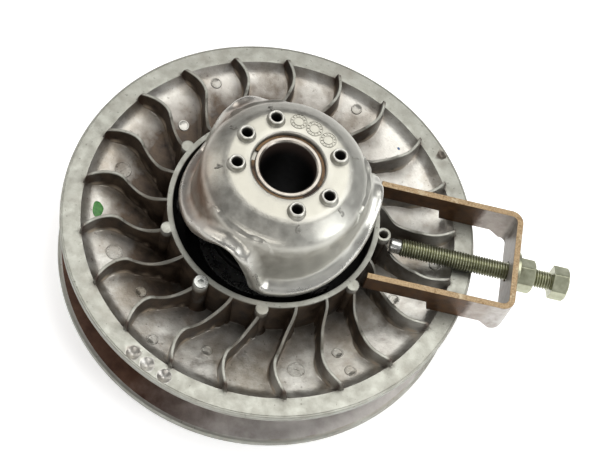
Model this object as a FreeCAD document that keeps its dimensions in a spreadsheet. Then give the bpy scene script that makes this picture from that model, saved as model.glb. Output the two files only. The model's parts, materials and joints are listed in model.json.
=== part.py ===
import FreeCAD, Part
import Sketcher
import math
import os

V = FreeCAD.Vector

# Driven (secondary) pulley of a belt CVT with its belt-change spreader bracket.
# Millimetres. +Z runs along the pulley axis, from the fixed sheave's back plane
# (Z = 0) towards the cam. Azimuth is measured from +X towards +Y.

doc = FreeCAD.newDocument("driven_pulley")

# ---------------------------------------------------------------- dimensions
DIMS = [
    # overall pulley
    ("rim_radius", 133.5), ("rim_lip", 5.0), ("rim_break", 0.8),
    ("top_plane", 50.0), ("belt_root_radius", 50.0), ("belt_rim_radius", 132.5),
    ("fixed_face", 24.85), ("sliding_face", 25.15), ("top_lip", 45.0),
    # fixed sheave
    ("post_radius", 20.5), ("hub_back_radius", 33.0), ("hub_back_top", 20.25),
    ("back_wall_outer", 121.0), ("back_wall_outer_z", 3.2), ("back_rim_inner", 124.0),
    ("rib_count", 12.0), ("rib_width", 4.0), ("rib_bottom", 1.5), ("rib_outer", 122.0),
    # post
    ("bore_radius", 17.4), ("post_top", 120.6), ("ring_groove_radius", 19.2),
    ("ring_groove_low", 118.0), ("ring_groove_high", 119.6),
    ("key_width", 6.0), ("key_low", 95.0), ("key_long", 21.0), ("key_inner", 18.2), ("key_outer", 23.0),
    # cam
    ("cam_bore", 20.52), ("cam_hub_radius", 26.0), ("cam_hub_low", 92.0), ("cam_under", 112.0),
    ("cam_face", 122.4), ("cam_recess", 22.7), ("cam_recess_z", 118.0),
    ("cam_disc_radius", 36.4), ("cam_step_radius", 38.9), ("cam_step_z", 121.8),
    ("cam_shoulder_radius", 49.0), ("cam_shoulder_z", 114.3), ("cam_wall", 52.6), ("cam_wall_low", 53.2),
    ("cam_inner", 47.0), ("skirt_low", 60.0), ("lip_radius", 61.4),
    ("cam_boss_pitch", 31.6), ("cam_boss_radius", 5.0), ("cam_boss_top", 126.4), ("cam_hole_radius", 3.25),
    # sliding sheave
    ("slide_hub_bore", 22.5), ("slide_hub_radius", 28.0), ("slide_hub_top", 62.0), ("cavity_floor", 30.0),
    ("cavity_wall_z", 33.5), ("ring_inner", 64.2), ("ring_outer", 67.7), ("ring_top", 65.7),
    ("floor_ring_z", 34.0), ("floor_outer", 118.0), ("floor_outer_z", 46.1), ("land_inner", 120.8),
    ("fin_count", 21.0), ("fin_width", 2.4),
    ("ring_boss_pitch", 70.8), ("ring_boss_radius", 4.8), ("ring_boss_hole", 2.7), ("ring_boss_depth", 14.0),
    ("ring_pad_pitch", 69.4), ("ring_pad_radius", 4.1),
    ("pit_big", 4.4), ("pit_small", 3.2), ("pit_depth", 2.6), ("pit_small_depth", 1.9),
    # running gear
    ("bush_inner", 20.56), ("bush_outer", 22.5), ("bush_long", 11.0), ("bush_low_z", 25.6), ("bush_high_z", 49.0),
    ("seal_low", 60.1), ("seal_high", 61.8),
    ("roller_radius", 7.0), ("roller_bore", 3.05), ("roller_inner", 53.8), ("roller_long", 6.2),
    ("roller_height", 60.6), ("roller_azimuth", 317.0),
    ("roller_pin_radius", 3.0), ("roller_pin_inner", 47.6), ("roller_pin_long", 14.2),
    ("lug_inner", 47.4), ("lug_deep", 5.6), ("lug_wide", 11.0), ("lug_top", 64.2),
    ("clip_radius", 5.0), ("clip_thick", 0.9), ("clip_at", 60.3),
    ("washer_inner", 30.0), ("washer_outer", 45.0), ("washer_low", 30.1), ("washer_high", 32.1),
    ("seat_inner", 30.0), ("seat_outer", 45.5), ("seat_low", 110.2), ("seat_high", 112.0),
    ("seat_lip_radius", 43.0), ("seat_lip_low", 108.0),
    ("spring_radius", 37.0), ("spring_wire", 2.3), ("spring_turns", 6.0),
    ("snap_inner", 19.25), ("snap_outer", 22.4), ("snap_low", 118.05), ("snap_high", 119.55),
    # spreader bracket
    ("bracket_azimuth", 8.3), ("arm_start", 63.6), ("bracket_outer", 158.0), ("arm_left", 33.6), ("arm_right", 37.1),
    ("plate", 4.0), ("bend_radius", 8.0), ("bend_inner_radius", 4.0), ("bracket_top", 73.5), ("bracket_foot", 43.4),
    ("arm_rest", 50.1), ("arm_raised", 59.3), ("arm_step_start", 104.8), ("arm_step_end", 107.0),
    ("foot_start", 141.5), ("foot_flat", 148.9), ("foot_end", 155.0),
    ("screw_height", 56.9), ("screw_offset", 1.75), ("web_hole", 6.6), ("screw_radius", 5.95), ("screw_start", 84.0), ("head_face", 183.5),
    ("head_thick", 10.4), ("hex_flats", 19.0), ("nut_bore", 6.0), ("plain_washer_outer", 13.9), ("plain_washer_thick", 2.4),
    ("nut_thick", 11.0), ("tip_start", 76.8), ("tip_radius", 4.7), ("tip_stem", 2.5), ("tip_socket", 2.56), ("tip_stem_long", 8.0),
]
sheet = doc.addObject("Spreadsheet::Sheet", "Dims")
D = {}
for row, (alias, value) in enumerate(DIMS, start=1):
    sheet.set("A%d" % row, alias)
    sheet.set("B%d" % row, repr(float(value)))
    sheet.setAlias("B%d" % row, alias)
    D[alias] = float(value)
doc.recompute()


def num(item):
    """Value of an alias, or of (alias, offset)."""
    if isinstance(item, tuple):
        return D[item[0]] + item[1]
    return D[item]


def expr(item):
    """Expression for an alias, or for (alias, offset)."""
    if isinstance(item, tuple):
        return "Dims.%s + (%.4f)" % (item[0], item[1])
    return "Dims.%s" % item


def plane(body, role):
    for feature in body.Origin.OriginFeatures:
        if feature.Role == role:
            return feature
    raise RuntimeError(role)


def outline(body, name, role, points):
    """Closed straight-sided sketch whose corners are held by sheet cells. A second
    coordinate of 0 puts the corner on the sketch's horizontal axis."""
    sk = body.newObject("Sketcher::SketchObject", name)
    sk.AttachmentSupport = [(plane(body, role), "")]
    sk.MapMode = "FlatFace"
    xy = [(num(a), 0.0 if b == 0 else num(b)) for a, b in points]
    n = len(xy)
    for i in range(n):
        p, q = xy[i], xy[(i + 1) % n]
        sk.addGeometry(Part.LineSegment(V(p[0], p[1], 0), V(q[0], q[1], 0)), False)
    for i in range(n):
        sk.addConstraint(Sketcher.Constraint("Coincident", i, 2, (i + 1) % n, 1))
    for i, (a, b) in enumerate(points):
        k = sk.addConstraint(Sketcher.Constraint("DistanceX", -1, 1, i, 1, xy[i][0]))
        sk.setExpression("Constraints[%d]" % k, expr(a))
        if b == 0:
            sk.addConstraint(Sketcher.Constraint("PointOnObject", i, 1, -1))
        else:
            k = sk.addConstraint(Sketcher.Constraint("DistanceY", -1, 1, i, 1, xy[i][1]))
            sk.setExpression("Constraints[%d]" % k, expr(b))
    return sk


def turned(name, points):
    """Body turned about Z from a radius/height outline."""
    body = doc.addObject("PartDesign::Body", name)
    sk = outline(body, name + "_outline", "XZ_Plane", points)
    rv = body.newObject("PartDesign::Revolution", name + "_turn")
    rv.Profile = sk
    rv.ReferenceAxis = (sk, ["V_Axis"])
    rv.Angle = 360.0
    doc.recompute()
    return body


def cylinder(name, radius, height, base, axis=V(0, 0, 1)):
    """Part cylinder from base along axis; radius and height come from the sheet."""
    c = doc.addObject("Part::Cylinder", name)
    c.setExpression("Radius", expr(radius))
    c.setExpression("Height", expr(height))
    c.Placement = FreeCAD.Placement(base, FreeCAD.Rotation(V(0, 0, 1), axis))
    return c


def box(name, long_x, wide_y, high_z, place):
    b = doc.addObject("Part::Box", name)
    b.setExpression("Length", expr(long_x))
    b.setExpression("Width", expr(wide_y))
    b.setExpression("Height", expr(high_z))
    b.Placement = place
    return b


def fuse(name, items):
    f = doc.addObject("Part::MultiFuse", name)
    f.Shapes = items
    f.Refine = False
    doc.recompute()
    return f


def cut(name, base, tools):
    tool = tools[0] if len(tools) == 1 else fuse(name + "_tools", tools)
    c = doc.addObject("Part::Cut", name)
    c.Base = base
    c.Tool = tool
    c.Refine = False
    doc.recompute()
    return c


def group(name, items):
    g = doc.addObject("Part::Compound", name)
    g.Links = items
    doc.recompute()
    return g


def polar(radius, azimuth, z=0.0):
    a = math.radians(azimuth)
    return V(radius * math.cos(a), radius * math.sin(a), z)


nodes = {}


def keep(obj, label):
    obj.Label = label
    nodes[label] = obj
    return obj


# ---------------------------------------------------------------- fixed sheave
fixed = turned("FixedSheave", [
    ("post_radius", 0), ("hub_back_radius", 0), (("hub_back_radius", 2.0), ("rim_lip", -3.0)),
    (("hub_back_radius", 4.0), ("hub_back_top", -2.5)), (("hub_back_radius", 7.0), "hub_back_top"),
    ("belt_root_radius", "hub_back_top"), ("back_wall_outer", "back_wall_outer_z"), ("back_rim_inner", 0),
    ("rim_radius", 0), ("rim_radius", ("rim_lip", -0.8)), (("rim_radius", -0.8), "rim_lip"),
    ("belt_rim_radius", "rim_lip"), ("belt_root_radius", "fixed_face"), ("post_radius", "fixed_face")])
rib_sketch = outline(fixed, "FixedRibOutline", "XZ_Plane", [
    (("hub_back_radius", -1.0), "rib_bottom"), ("rib_outer", "rib_bottom"),
    (("rib_outer", -1.2), ("back_wall_outer_z", 1.6)), (("belt_root_radius", 0.0), ("hub_back_top", 2.0)),
    (("hub_back_radius", -1.0), ("hub_back_top", 2.0))])
rib = fixed.newObject("PartDesign::Pad", "FixedRib")
rib.Profile = rib_sketch
rib.setExpression("Length", "Dims.rib_width")
rib.Midplane = True
doc.recompute()
ribs = fixed.newObject("PartDesign::PolarPattern", "FixedRibs")
ribs.Originals = [rib]
ribs.Axis = (fixed.Origin.OriginFeatures[2], [""])
for feature in fixed.Origin.OriginFeatures:
    if feature.Role == "Z_Axis":
        ribs.Axis = (feature, [""])
ribs.Angle = 360.0
ribs.setExpression("Occurrences", "Dims.rib_count")
fixed.Tip = ribs
doc.recompute()
keep(fixed, "fixed_sheave")

# ---------------------------------------------------------------- post and key
post_turn = turned("PostTurn", [
    ("bore_radius", 0), (("post_radius", -0.5), 0), ("post_radius", ("rim_lip", -4.5)),
    ("post_radius", "ring_groove_low"), ("ring_groove_radius", "ring_groove_low"),
    ("ring_groove_radius", "ring_groove_high"), ("post_radius", "ring_groove_high"),
    ("post_radius", ("post_top", -0.6)), (("post_radius", -0.6), "post_top"),
    (("bore_radius", 0.9), "post_top"), ("bore_radius", ("post_top", -0.9))])
key_slot = box("KeySlot", ("key_outer", -16.0), "key_width", "key_long",
               FreeCAD.Placement(V(D["key_inner"], -D["key_width"] / 2, D["key_low"]), FreeCAD.Rotation()))
keep(cut("Post", post_turn, [key_slot]), "hub_post")
key_body = box("KeyBlank", ("key_outer", -18.25), ("key_width", -0.04), ("key_long", -0.1),
               FreeCAD.Placement(V(D["key_inner"] + 0.02, -D["key_width"] / 2 + 0.02, D["key_low"] + 0.05), FreeCAD.Rotation()))
key_body.setExpression("Length", "Dims.key_outer - Dims.key_inner - 0.04")
keep(key_body, "cam_key")

# ---------------------------------------------------------------- cam
# Ramp edge height above the top plane, over one 120 degree lobe; it repeats three times.
RIM = D["rim_radius"]
WAVE = [(0, .137), (8, .119), (18, .115), (30, .120), (44, .142), (59, .188), (73, .240), (85, .325),
        (93, .395), (100, .437), (104.5, .437), (109, .400), (114.5, .300), (117.5, .195), (120, .137)]
WAVE_START = 273.0


def wave(azimuth):
    """Ramp edge height by monotone cubic interpolation of the lobe table."""
    phi = (azimuth - WAVE_START) % 120.0
    n = len(WAVE)
    slope = [(WAVE[i + 1][1] - WAVE[i][1]) / (WAVE[i + 1][0] - WAVE[i][0]) for i in range(n - 1)]
    m = [0.0] * n
    for i in range(1, n - 1):
        m[i] = 0.0 if slope[i - 1] * slope[i] <= 0 else 2 * slope[i - 1] * slope[i] / (slope[i - 1] + slope[i])
    m[0] = m[-1] = 2 * slope[0] * slope[-1] / (slope[0] + slope[-1]) if slope[0] * slope[-1] > 0 else 0.0
    for i in range(n - 1):
        a, b = WAVE[i], WAVE[i + 1]
        if phi <= b[0]:
            w = b[0] - a[0]
            u = (phi - a[0]) / w
            return D["top_plane"] + RIM * (
                (2 * u ** 3 - 3 * u ** 2 + 1) * a[1] + (u ** 3 - 2 * u ** 2 + u) * w * m[i]
                + (-2 * u ** 3 + 3 * u ** 2) * b[1] + (u ** 3 - u ** 2) * w * m[i + 1])
    return D["top_plane"] + RIM * WAVE[-1][1]


def wave_curve(radius, lift):
    step = 2.5
    points = [polar(radius, k * step, wave(k * step) + lift) for k in range(int(360 / step))]
    curve = Part.BSplineCurve()
    curve.interpolate(Points=points, PeriodicFlag=True)
    return curve.toShape()


cam_turn = turned("CamTurn", [
    ("cam_bore", "cam_hub_low"), ("cam_hub_radius", "cam_hub_low"), ("cam_hub_radius", "cam_under"),
    (("cam_inner", -1.4), "cam_under"), ("cam_inner", ("cam_under", -1.4)), ("cam_inner", "skirt_low"),
    ("cam_wall_low", "skirt_low"), ("cam_wall", ("cam_shoulder_z", -6.5)),
    (("cam_wall", -1.1), ("cam_shoulder_z", -2.2)), ("cam_shoulder_radius", "cam_shoulder_z"),
    (("cam_step_radius", 3.2), ("cam_step_z", -2.2)), ("cam_step_radius", "cam_step_z"),
    (("cam_disc_radius", 0.3), "cam_step_z"), ("cam_disc_radius", "cam_face"),
    (("cam_recess", 0.9), "cam_face"), ("cam_recess", ("cam_face", -0.9)),
    ("cam_recess", "cam_recess_z"), ("cam_bore", "cam_recess_z")])
cam_wave = doc.addObject("Part::Feature", "CamBelowRamp")
low_face = Part.makeRuledSurface(wave_curve(D["cam_inner"] - 4.0, 0.0), wave_curve(D["cam_wall_low"] + 4.0, 0.0))
cam_wave.Shape = low_face.extrude(V(0, 0, -70.0))
# the flared lip that carries the ramp
r0, r1 = D["cam_inner"] + 3.0, D["lip_radius"]
c_in_low, c_out_low = wave_curve(r0, 0.0), wave_curve(r1, 0.6)
c_out_high, c_in_high = wave_curve(r1, 3.4), wave_curve(r0, 13.0)
lip_faces = []
for a, b in ((c_in_low, c_out_low), (c_out_low, c_out_high), (c_out_high, c_in_high), (c_in_high, c_in_low)):
    lip_faces += Part.makeRuledSurface(a, b).Faces
lip_shell = Part.makeShell(lip_faces)
lip_shell.sewShape()
lip_solid = Part.makeSolid(Part.Shell(lip_shell.Faces))
if lip_solid.Volume < 0:
    lip_solid.reverse()
cam_lip = doc.addObject("Part::Feature", "CamLip")
cam_lip.Shape = lip_solid
cam_cut = cut("CamCut", cam_turn, [cam_wave])
HOLES = (31.9, 91.9 + 30.9, 162.6, 202.3, 296.1, 336.9)
cam_bosses = [cylinder("CamBoss%d" % k, "cam_boss_radius", ("cam_boss_top", -D["cam_under"] - 2.0),
                       polar(D["cam_boss_pitch"], a, D["cam_under"] + 2.0)) for k, a in enumerate(HOLES)]
for b in cam_bosses:
    b.setExpression("Height", "Dims.cam_boss_top - Dims.cam_under - 2")
cam_fuse = fuse("CamFuse", [cam_cut, cam_lip] + cam_bosses)
cam_holes = [cylinder("CamHole%d" % k, "cam_hole_radius", ("cam_boss_top", -100.0),
                      polar(D["cam_boss_pitch"], a, D["cam_under"] - 5.0)) for k, a in enumerate(HOLES)]
cam_key_slot = box("CamKeySlot", ("key_outer", -17.0), ("key_width", 0.04), ("key_long", 0.4),
                   FreeCAD.Placement(V(D["key_inner"], -D["key_width"] / 2 - 0.02, D["key_low"] - 0.2), FreeCAD.Rotation()))
cam_key_slot.setExpression("Length", "Dims.key_outer - Dims.key_inner + 0.06")
cam_obj = cut("CamCut2", cam_fuse, cam_holes + [cam_key_slot])
keep(cam_obj, "cam")

keep(turned("SnapRing", [("snap_inner", "snap_low"), ("snap_outer", "snap_low"),
                         ("snap_outer", "snap_high"), ("snap_inner", "snap_high")]), "snap_ring")
# the ring is split: a 7 mm gap opposite the key, with two plier eyes beside it
snap = nodes.pop("snap_ring")
snap.Label = "snap_ring_blank"
gap = doc.addObject("Part::Box", "SnapGap")
gap.Length, gap.Width, gap.Height = 8.0, 7.0, 4.0
gap.Placement = FreeCAD.Placement(V(-25.0, -3.5, D["snap_low"] - 1.0), FreeCAD.Rotation())
keep(cut("SnapCut", snap, [gap]), "snap_ring")

keep(turned("SpringSeat", [("seat_inner", "seat_low"), ("seat_lip_radius", "seat_low"), ("seat_lip_radius", "seat_lip_low"),
                           ("seat_outer", "seat_lip_low"), ("seat_outer", ("seat_high", -1.2)), (("seat_outer", -1.2), "seat_high"),
                           ("seat_inner", "seat_high")]), "spring_seat")

# ---------------------------------------------------------------- spring and thrust washer
keep(turned("ThrustWasher", [("washer_inner", "washer_low"), ("washer_outer", "washer_low"),
                             ("washer_outer", "washer_high"), ("washer_inner", "washer_high")]), "thrust_washer")
spring_low = D["washer_high"] + D["spring_wire"] + 0.15
spring_high = D["seat_low"] - D["spring_wire"] - 0.15
spring = doc.addObject("Part::Feature", "Spring")
# the coil is a closed faceted tube: rings of corners stood square to the helix
SIDES, PER_TURN = 10, 20
steps = int(PER_TURN * D["spring_turns"])
rise = (spring_high - spring_low) / steps
lead = math.atan2(rise * PER_TURN, 2 * math.pi * D["spring_radius"])
rings = []
for i in range(steps + 1):
    a = 2 * math.pi * i / PER_TURN
    centre = V(D["spring_radius"] * math.cos(a), D["spring_radius"] * math.sin(a), rise * i)
    outward = V(math.cos(a), math.sin(a), 0)
    upward = V(math.sin(a) * math.sin(lead), -math.cos(a) * math.sin(lead), math.cos(lead))
    rings.append([centre + outward * (D["spring_wire"] * math.cos(2 * math.pi * j / SIDES))
                  + upward * (D["spring_wire"] * math.sin(2 * math.pi * j / SIDES)) for j in range(SIDES)])
facets = []
for i in range(steps):
    for j in range(SIDES):
        p, q = rings[i][j], rings[i][(j + 1) % SIDES]
        r, w = rings[i + 1][(j + 1) % SIDES], rings[i + 1][j]
        facets.append(Part.Face(Part.makePolygon([p, q, r, p])))
        facets.append(Part.Face(Part.makePolygon([p, r, w, p])))
for end in (rings[0], rings[-1]):
    c = V(0, 0, 0)
    for point in end:
        c = c + point * (1.0 / SIDES)
    for j in range(SIDES):
        facets.append(Part.Face(Part.makePolygon([c, end[j], end[(j + 1) % SIDES], c])))
coil_shell = Part.makeShell(facets)
coil_shell.sewShape()
coil = Part.makeSolid(Part.Shell(coil_shell.Faces))
if coil.Volume < 0:
    coil.reverse()
spring.Shape = coil
spring.Placement = FreeCAD.Placement(V(0, 0, spring_low), FreeCAD.Rotation())
keep(spring, "spring")

# ---------------------------------------------------------------- sliding sheave
slide_turn = turned("SlideTurn", [
    ("slide_hub_bore", "sliding_face"), ("belt_root_radius", "sliding_face"), ("belt_rim_radius", "top_lip"),
    (("rim_radius", -0.8), "top_lip"), ("rim_radius", ("top_lip", 0.8)), ("rim_radius", "top_plane"),
    ("land_inner", "top_plane"), (("land_inner", -0.9), ("top_plane", -0.5)),
    ("floor_outer", "floor_outer_z"), (("ring_outer", 1.5), ("floor_ring_z", 0.35)),
    ("ring_outer", ("floor_ring_z", 1.8)), ("ring_outer", "ring_top"), ("ring_inner", "ring_top"),
    ("ring_inner", "cavity_wall_z"), (("belt_root_radius", 0.0), "cavity_floor"),
    ("slide_hub_radius", "cavity_floor"), ("slide_hub_radius", "slide_hub_top"),
    ("slide_hub_bore", "slide_hub_top")])
# fin crest and its sweep, by radius: (radius/rim, azimuth offset in degrees, crest height/rim)
FIN = [(.912, .89, .050), (.89, .10, .0600), (.86, -.87, .0635), (.82, -1.96, .0640), (.78, -2.47, .0645), (.74, -2.23, .0640),
       (.705, -1.15, .0430), (.66, .70, .0235), (.62, 2.32, .0175), (.58, 4.50, .0419), (.54, 7.11, .0930), (.500, 8.40, .1176)]
SLOPE = (D["top_lip"] - D["sliding_face"]) / (D["belt_rim_radius"] - D["belt_root_radius"])


def belt_z(radius):
    return D["sliding_face"] + SLOPE * (radius - D["belt_root_radius"])


def fin_side(half):
    pts = []
    for i, (q, off, h) in enumerate(FIN):
        a = math.radians(off)
        p = V(q * RIM * math.cos(a), q * RIM * math.sin(a), 0)
        j0, j1 = max(0, i - 1), min(len(FIN) - 1, i + 1)
        ends = []
        for j in (j0, j1):
            b = math.radians(FIN[j][1])
            ends.append(V(FIN[j][0] * RIM * math.cos(b), FIN[j][0] * RIM * math.sin(b), 0))
        t = ends[1] - ends[0]
        t.normalize()
        pts.append(p + V(-t.y, t.x, 0) * half)
    return pts


left, right = fin_side(D["fin_width"] / 2), fin_side(-D["fin_width"] / 2)
bl, br = Part.BSplineCurve(), Part.BSplineCurve()
bl.interpolate(left)
br.interpolate(right)
fin_wire = Part.Wire([bl.toShape(), Part.makeLine(left[-1], right[-1]), br.toShape(), Part.makeLine(right[0], left[0])])
fin_prism = Part.Face(fin_wire).extrude(V(0, 0, 60.0))
fin_prism.translate(V(0, 0, 20.0))
env = [V(q * RIM, 0, D["top_plane"] + h * RIM) for q, off, h in FIN]
env[0].x += 3.0
env[-1].x -= 2.0
env += [V(env[-1].x, 0, belt_z(env[-1].x) + 2.0), V(env[0].x, 0, belt_z(env[0].x) + 2.0)]
envelope = Part.Face(Part.makePolygon(env + [env[0]])).revolve(V(0, 0, 0), V(0, 0, 1), 360)
one_fin = fin_prism.common(envelope)
fins = []
for k in range(int(D["fin_count"])):
    f = one_fin.copy()
    f.rotate(V(0, 0, 0), V(0, 0, 1), 360.0 * k / D["fin_count"])
    fins += f.Solids
fin_set = doc.addObject("Part::Feature", "Fins")
fin_set.Shape = Part.makeCompound(fins)

RING_BOSS = (8.3, 128.3, 248.3)
RING_PAD = (41.9, 93.3, 161.9, 213.3, 281.9, 333.3)
bosses = [cylinder("RingBoss%d" % k, "ring_boss_radius", ("ring_top", -D["floor_ring_z"] - 1.0),
                   polar(D["ring_boss_pitch"], a, D["floor_ring_z"] - 1.0)) for k, a in enumerate(RING_BOSS)]
for b in bosses:
    b.setExpression("Height", "Dims.ring_top - Dims.floor_ring_z + 1")
pads = [cylinder("RingPad%d" % k, "ring_pad_radius", ("ring_top", -D["floor_ring_z"]),
                 polar(D["ring_pad_pitch"], a, D["floor_ring_z"] - 1.0)) for k, a in enumerate(RING_PAD)]
for b in pads:
    b.setExpression("Height", "Dims.ring_top - Dims.floor_ring_z + 1")
ROLLERS = [D["roller_azimuth"] + 120.0 * k for k in range(3)]
lugs = []
for k, a in enumerate(ROLLERS):
    turn = FreeCAD.Rotation(V(0, 0, 1), a)
    base = turn.multVec(V(D["lug_inner"], -D["lug_wide"] / 2, D["cavity_floor"] - 1.5))
    lug = box("Lug%d" % k, "lug_deep", "lug_wide", ("lug_top", -28.5), FreeCAD.Placement(base, turn))
    lugs.append(lug)
slide_fuse = fuse("SlideFuse", [slide_turn, fin_set] + bosses + pads + lugs)
# the bore is cleared again after the fin roots and the bosses are joined
ring_clear = turned("RingClear", [
    (("lug_inner", 12.2), ("cavity_wall_z", 2.0)), ("ring_inner", ("cavity_wall_z", 2.0)),
    ("ring_inner", ("ring_top", 5.0)), (("lug_inner", 12.2), ("ring_top", 5.0))])
tools = [ring_clear]
for k, a in enumerate(RING_BOSS):
    tools.append(cylinder("BossHole%d" % k, "ring_boss_hole", ("ring_boss_depth", 2.0),
                          polar(D["ring_boss_pitch"], a, D["ring_top"] - D["ring_boss_depth"])))
PITS = [(247.3, .9562, True), (252.2, .9555, True), (257.9, .9565, True), (45.2, .9690, False)]
for k, (a, q, big) in enumerate(PITS):
    pit = doc.addObject("Part::Cone", "Pit%d" % k)
    pit.Radius1 = 0.0
    pit.setExpression("Radius2", "Dims.pit_big * 1.2" if big else "Dims.pit_small * 1.2")
    pit.setExpression("Height", "Dims.pit_depth * 1.2" if big else "Dims.pit_small_depth * 1.2")
    pit.Placement = FreeCAD.Placement(polar(q * RIM, a, D["top_plane"] - D["pit_depth" if big else "pit_small_depth"]), FreeCAD.Rotation())
    tools.append(pit)
for k, a in enumerate(ROLLERS):
    tools.append(cylinder("LugHole%d" % k, "roller_pin_radius", "lug_deep", polar(D["lug_inner"], a, D["roller_height"]),
                          polar(1.0, a)))
# shallow relief in the fin under the point of the feed screw
lay = FreeCAD.Placement(V(0, 0, 0), FreeCAD.Rotation(V(0, 0, 1), D["bracket_azimuth"]))
tools.append(cylinder("TipRelief", ("tip_radius", 0.6), ("ring_boss_depth", -1.0),
                      lay.multVec(V(D["tip_start"] - 0.9, -D["screw_offset"], D["screw_height"])), lay.Rotation.multVec(V(1, 0, 0))))
slide = cut("SlideCut", slide_fuse, tools)
keep(slide, "sliding_sheave")

for name, low in (("hub_bushing_lower", "bush_low_z"), ("hub_bushing_upper", "bush_high_z")):
    keep(turned("Bush_" + name[12:], [("bush_inner", low), ("bush_outer", low),
                                      ("bush_outer", (low, D["bush_long"])), ("bush_inner", (low, D["bush_long"]))]), name)
keep(turned("HubSeal", [("bush_inner", "seal_low"), ("bush_outer", "seal_low"),
                        ("bush_outer", "seal_high"), (("bush_inner", 0.6), "seal_high"), ("bush_inner", ("seal_low", 0.8))]), "hub_seal")

# ---------------------------------------------------------------- ramp rollers on their pins
pins, clips = [], []
for k, a in enumerate(ROLLERS):
    out = polar(1.0, a)
    r_blank = cylinder("RollerBlank%d" % k, "roller_radius", "roller_long", polar(D["roller_inner"], a, D["roller_height"]), out)
    r_bore = cylinder("RollerBore%d" % k, "roller_bore", ("roller_long", 2.0), polar(D["roller_inner"] - 1.0, a, D["roller_height"]), out)
    keep(cut("Roller%d" % k, r_blank, [r_bore]), "roller_%d" % (k + 1))
    pins.append(cylinder("RollerPin%d" % k, "roller_pin_radius", "roller_pin_long", polar(D["roller_pin_inner"], a, D["roller_height"]), out))
    c_blank = cylinder("ClipBlank%d" % k, "clip_radius", "clip_thick", polar(D["clip_at"], a, D["roller_height"]), out)
    c_bore = cylinder("ClipBore%d" % k, "roller_pin_radius", ("clip_thick", 2.0), polar(D["clip_at"] - 1.0, a, D["roller_height"]), out)
    clips.append(cut("Clip%d" % k, c_blank, [c_bore]))
keep(group("RollerPins", pins), "roller_pins")
keep(group("RollerClips", clips), "roller_clips")

# screws in two of the three ring bosses: low round heads with a hexagon socket
screws = []
for k, a in enumerate(RING_BOSS[1:]):
    top = D["ring_top"]
    shank = cylinder("ScrewShank%d" % k, "ring_boss_hole", ("ring_boss_depth", -0.5), polar(D["ring_boss_pitch"], a, top - D["ring_boss_depth"] + 0.5))
    head = cylinder("ScrewHead%d" % k, ("ring_boss_radius", -0.4), ("clip_thick", 1.0), polar(D["ring_boss_pitch"], a, top + 0.0))
    body = fuse("ScrewBody%d" % k, [shank, head])
    sock = doc.addObject("Part::Prism", "ScrewSocket%d" % k)
    sock.Polygon = 6
    sock.Circumradius = 1.75
    sock.Height = 4.0
    sock.Placement = FreeCAD.Placement(polar(D["ring_boss_pitch"], a, top - 0.4), FreeCAD.Rotation())
    screws.append(cut("ScrewCut%d" % k, body, [sock]))
keep(group("BossScrews", screws), "boss_screws")

# ---------------------------------------------------------------- spreader bracket
# Drawn lying along +X, then turned to its azimuth.


def laid(x, y, z):
    return lay.multVec(V(x, y, z))


out_dir = lay.Rotation.multVec(V(1, 0, 0))
bracket = doc.addObject("PartDesign::Body", "Bracket")
side = outline(bracket, "BracketSide", "XZ_Plane", [
    ("arm_start", "arm_raised"), ("arm_step_start", "arm_raised"), ("arm_step_end", "arm_rest"), ("foot_start", "arm_rest"),
    ("foot_flat", "bracket_foot"), ("foot_end", "bracket_foot"), ("bracket_outer", ("bracket_foot", 3.4)),
    ("bracket_outer", "bracket_top"), ("arm_start", "bracket_top")])
slab = bracket.newObject("PartDesign::Pad", "BracketSlab")
slab.Profile = side
slab.setExpression("Length", "Dims.arm_right")
slab.setExpression("Length2", "Dims.arm_left")
try:
    slab.Type = "TwoLengths"
except Exception:
    slab.SideType = "Two sides"
doc.recompute()
if slab.Shape.BoundBox.YMax > D["arm_left"] + 0.5:
    slab.Reversed = True
    doc.recompute()
keep_box = slab.Shape.BoundBox
throat = bracket.newObject("Sketcher::SketchObject", "BracketThroat")
throat.AttachmentSupport = [(plane(bracket, "XY_Plane"), "")]
throat.MapMode = "FlatFace"
x0, x1 = D["arm_start"] - 5.0, D["bracket_outer"] - D["plate"]
y0, y1 = -(D["arm_right"] - D["plate"]), D["arm_left"] - D["plate"]
corner = [(x0, y0), (x1, y0), (x1, y1), (x0, y1)]
for i in range(4):
    p, q = corner[i], corner[(i + 1) % 4]
    throat.addGeometry(Part.LineSegment(V(p[0], p[1], 0), V(q[0], q[1], 0)), False)
for i in range(4):
    throat.addConstraint(Sketcher.Constraint("Coincident", i, 2, (i + 1) % 4, 1))
for i, kind in ((0, "Horizontal"), (1, "Vertical"), (2, "Horizontal"), (3, "Vertical")):
    throat.addConstraint(Sketcher.Constraint(kind, i))
for kind, i, value, text in (("DistanceX", 0, x0, "Dims.arm_start - 5"), ("DistanceX", 1, x1, "Dims.bracket_outer - Dims.plate"),
                             ("DistanceY", 0, y0, "Dims.plate - Dims.arm_right"), ("DistanceY", 2, y1, "Dims.arm_left - Dims.plate")):
    c = throat.addConstraint(Sketcher.Constraint(kind, -1, 1, i, 1, value))
    throat.setExpression("Constraints[%d]" % c, text)
opening = bracket.newObject("PartDesign::Pocket", "BracketOpening")
opening.Profile = throat
opening.setExpression("Length", "Dims.bracket_top + 10")
opening.Reversed = True
doc.recompute()
if opening.Shape.Volume > slab.Shape.Volume * 0.7:
    opening.Reversed = False
    doc.recompute()
if opening.Shape.Volume > slab.Shape.Volume * 0.7:
    raise RuntimeError("bracket opening cut nothing")


def upright_edges(shape, x, ys):
    """Names of the long vertical edges at the given plan corners."""
    found = []
    for i, e in enumerate(shape.Edges, start=1):
        a, b = e.Vertexes[0].Point, e.Vertexes[-1].Point
        if abs(a.x - b.x) < 1e-6 and abs(a.y - b.y) < 1e-6 and abs(a.z - b.z) > 10 and abs(a.x - x) < 1e-4:
            if min(abs(a.y - y) for y in ys) < 1e-4:
                found.append("Edge%d" % i)
    return found


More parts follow.
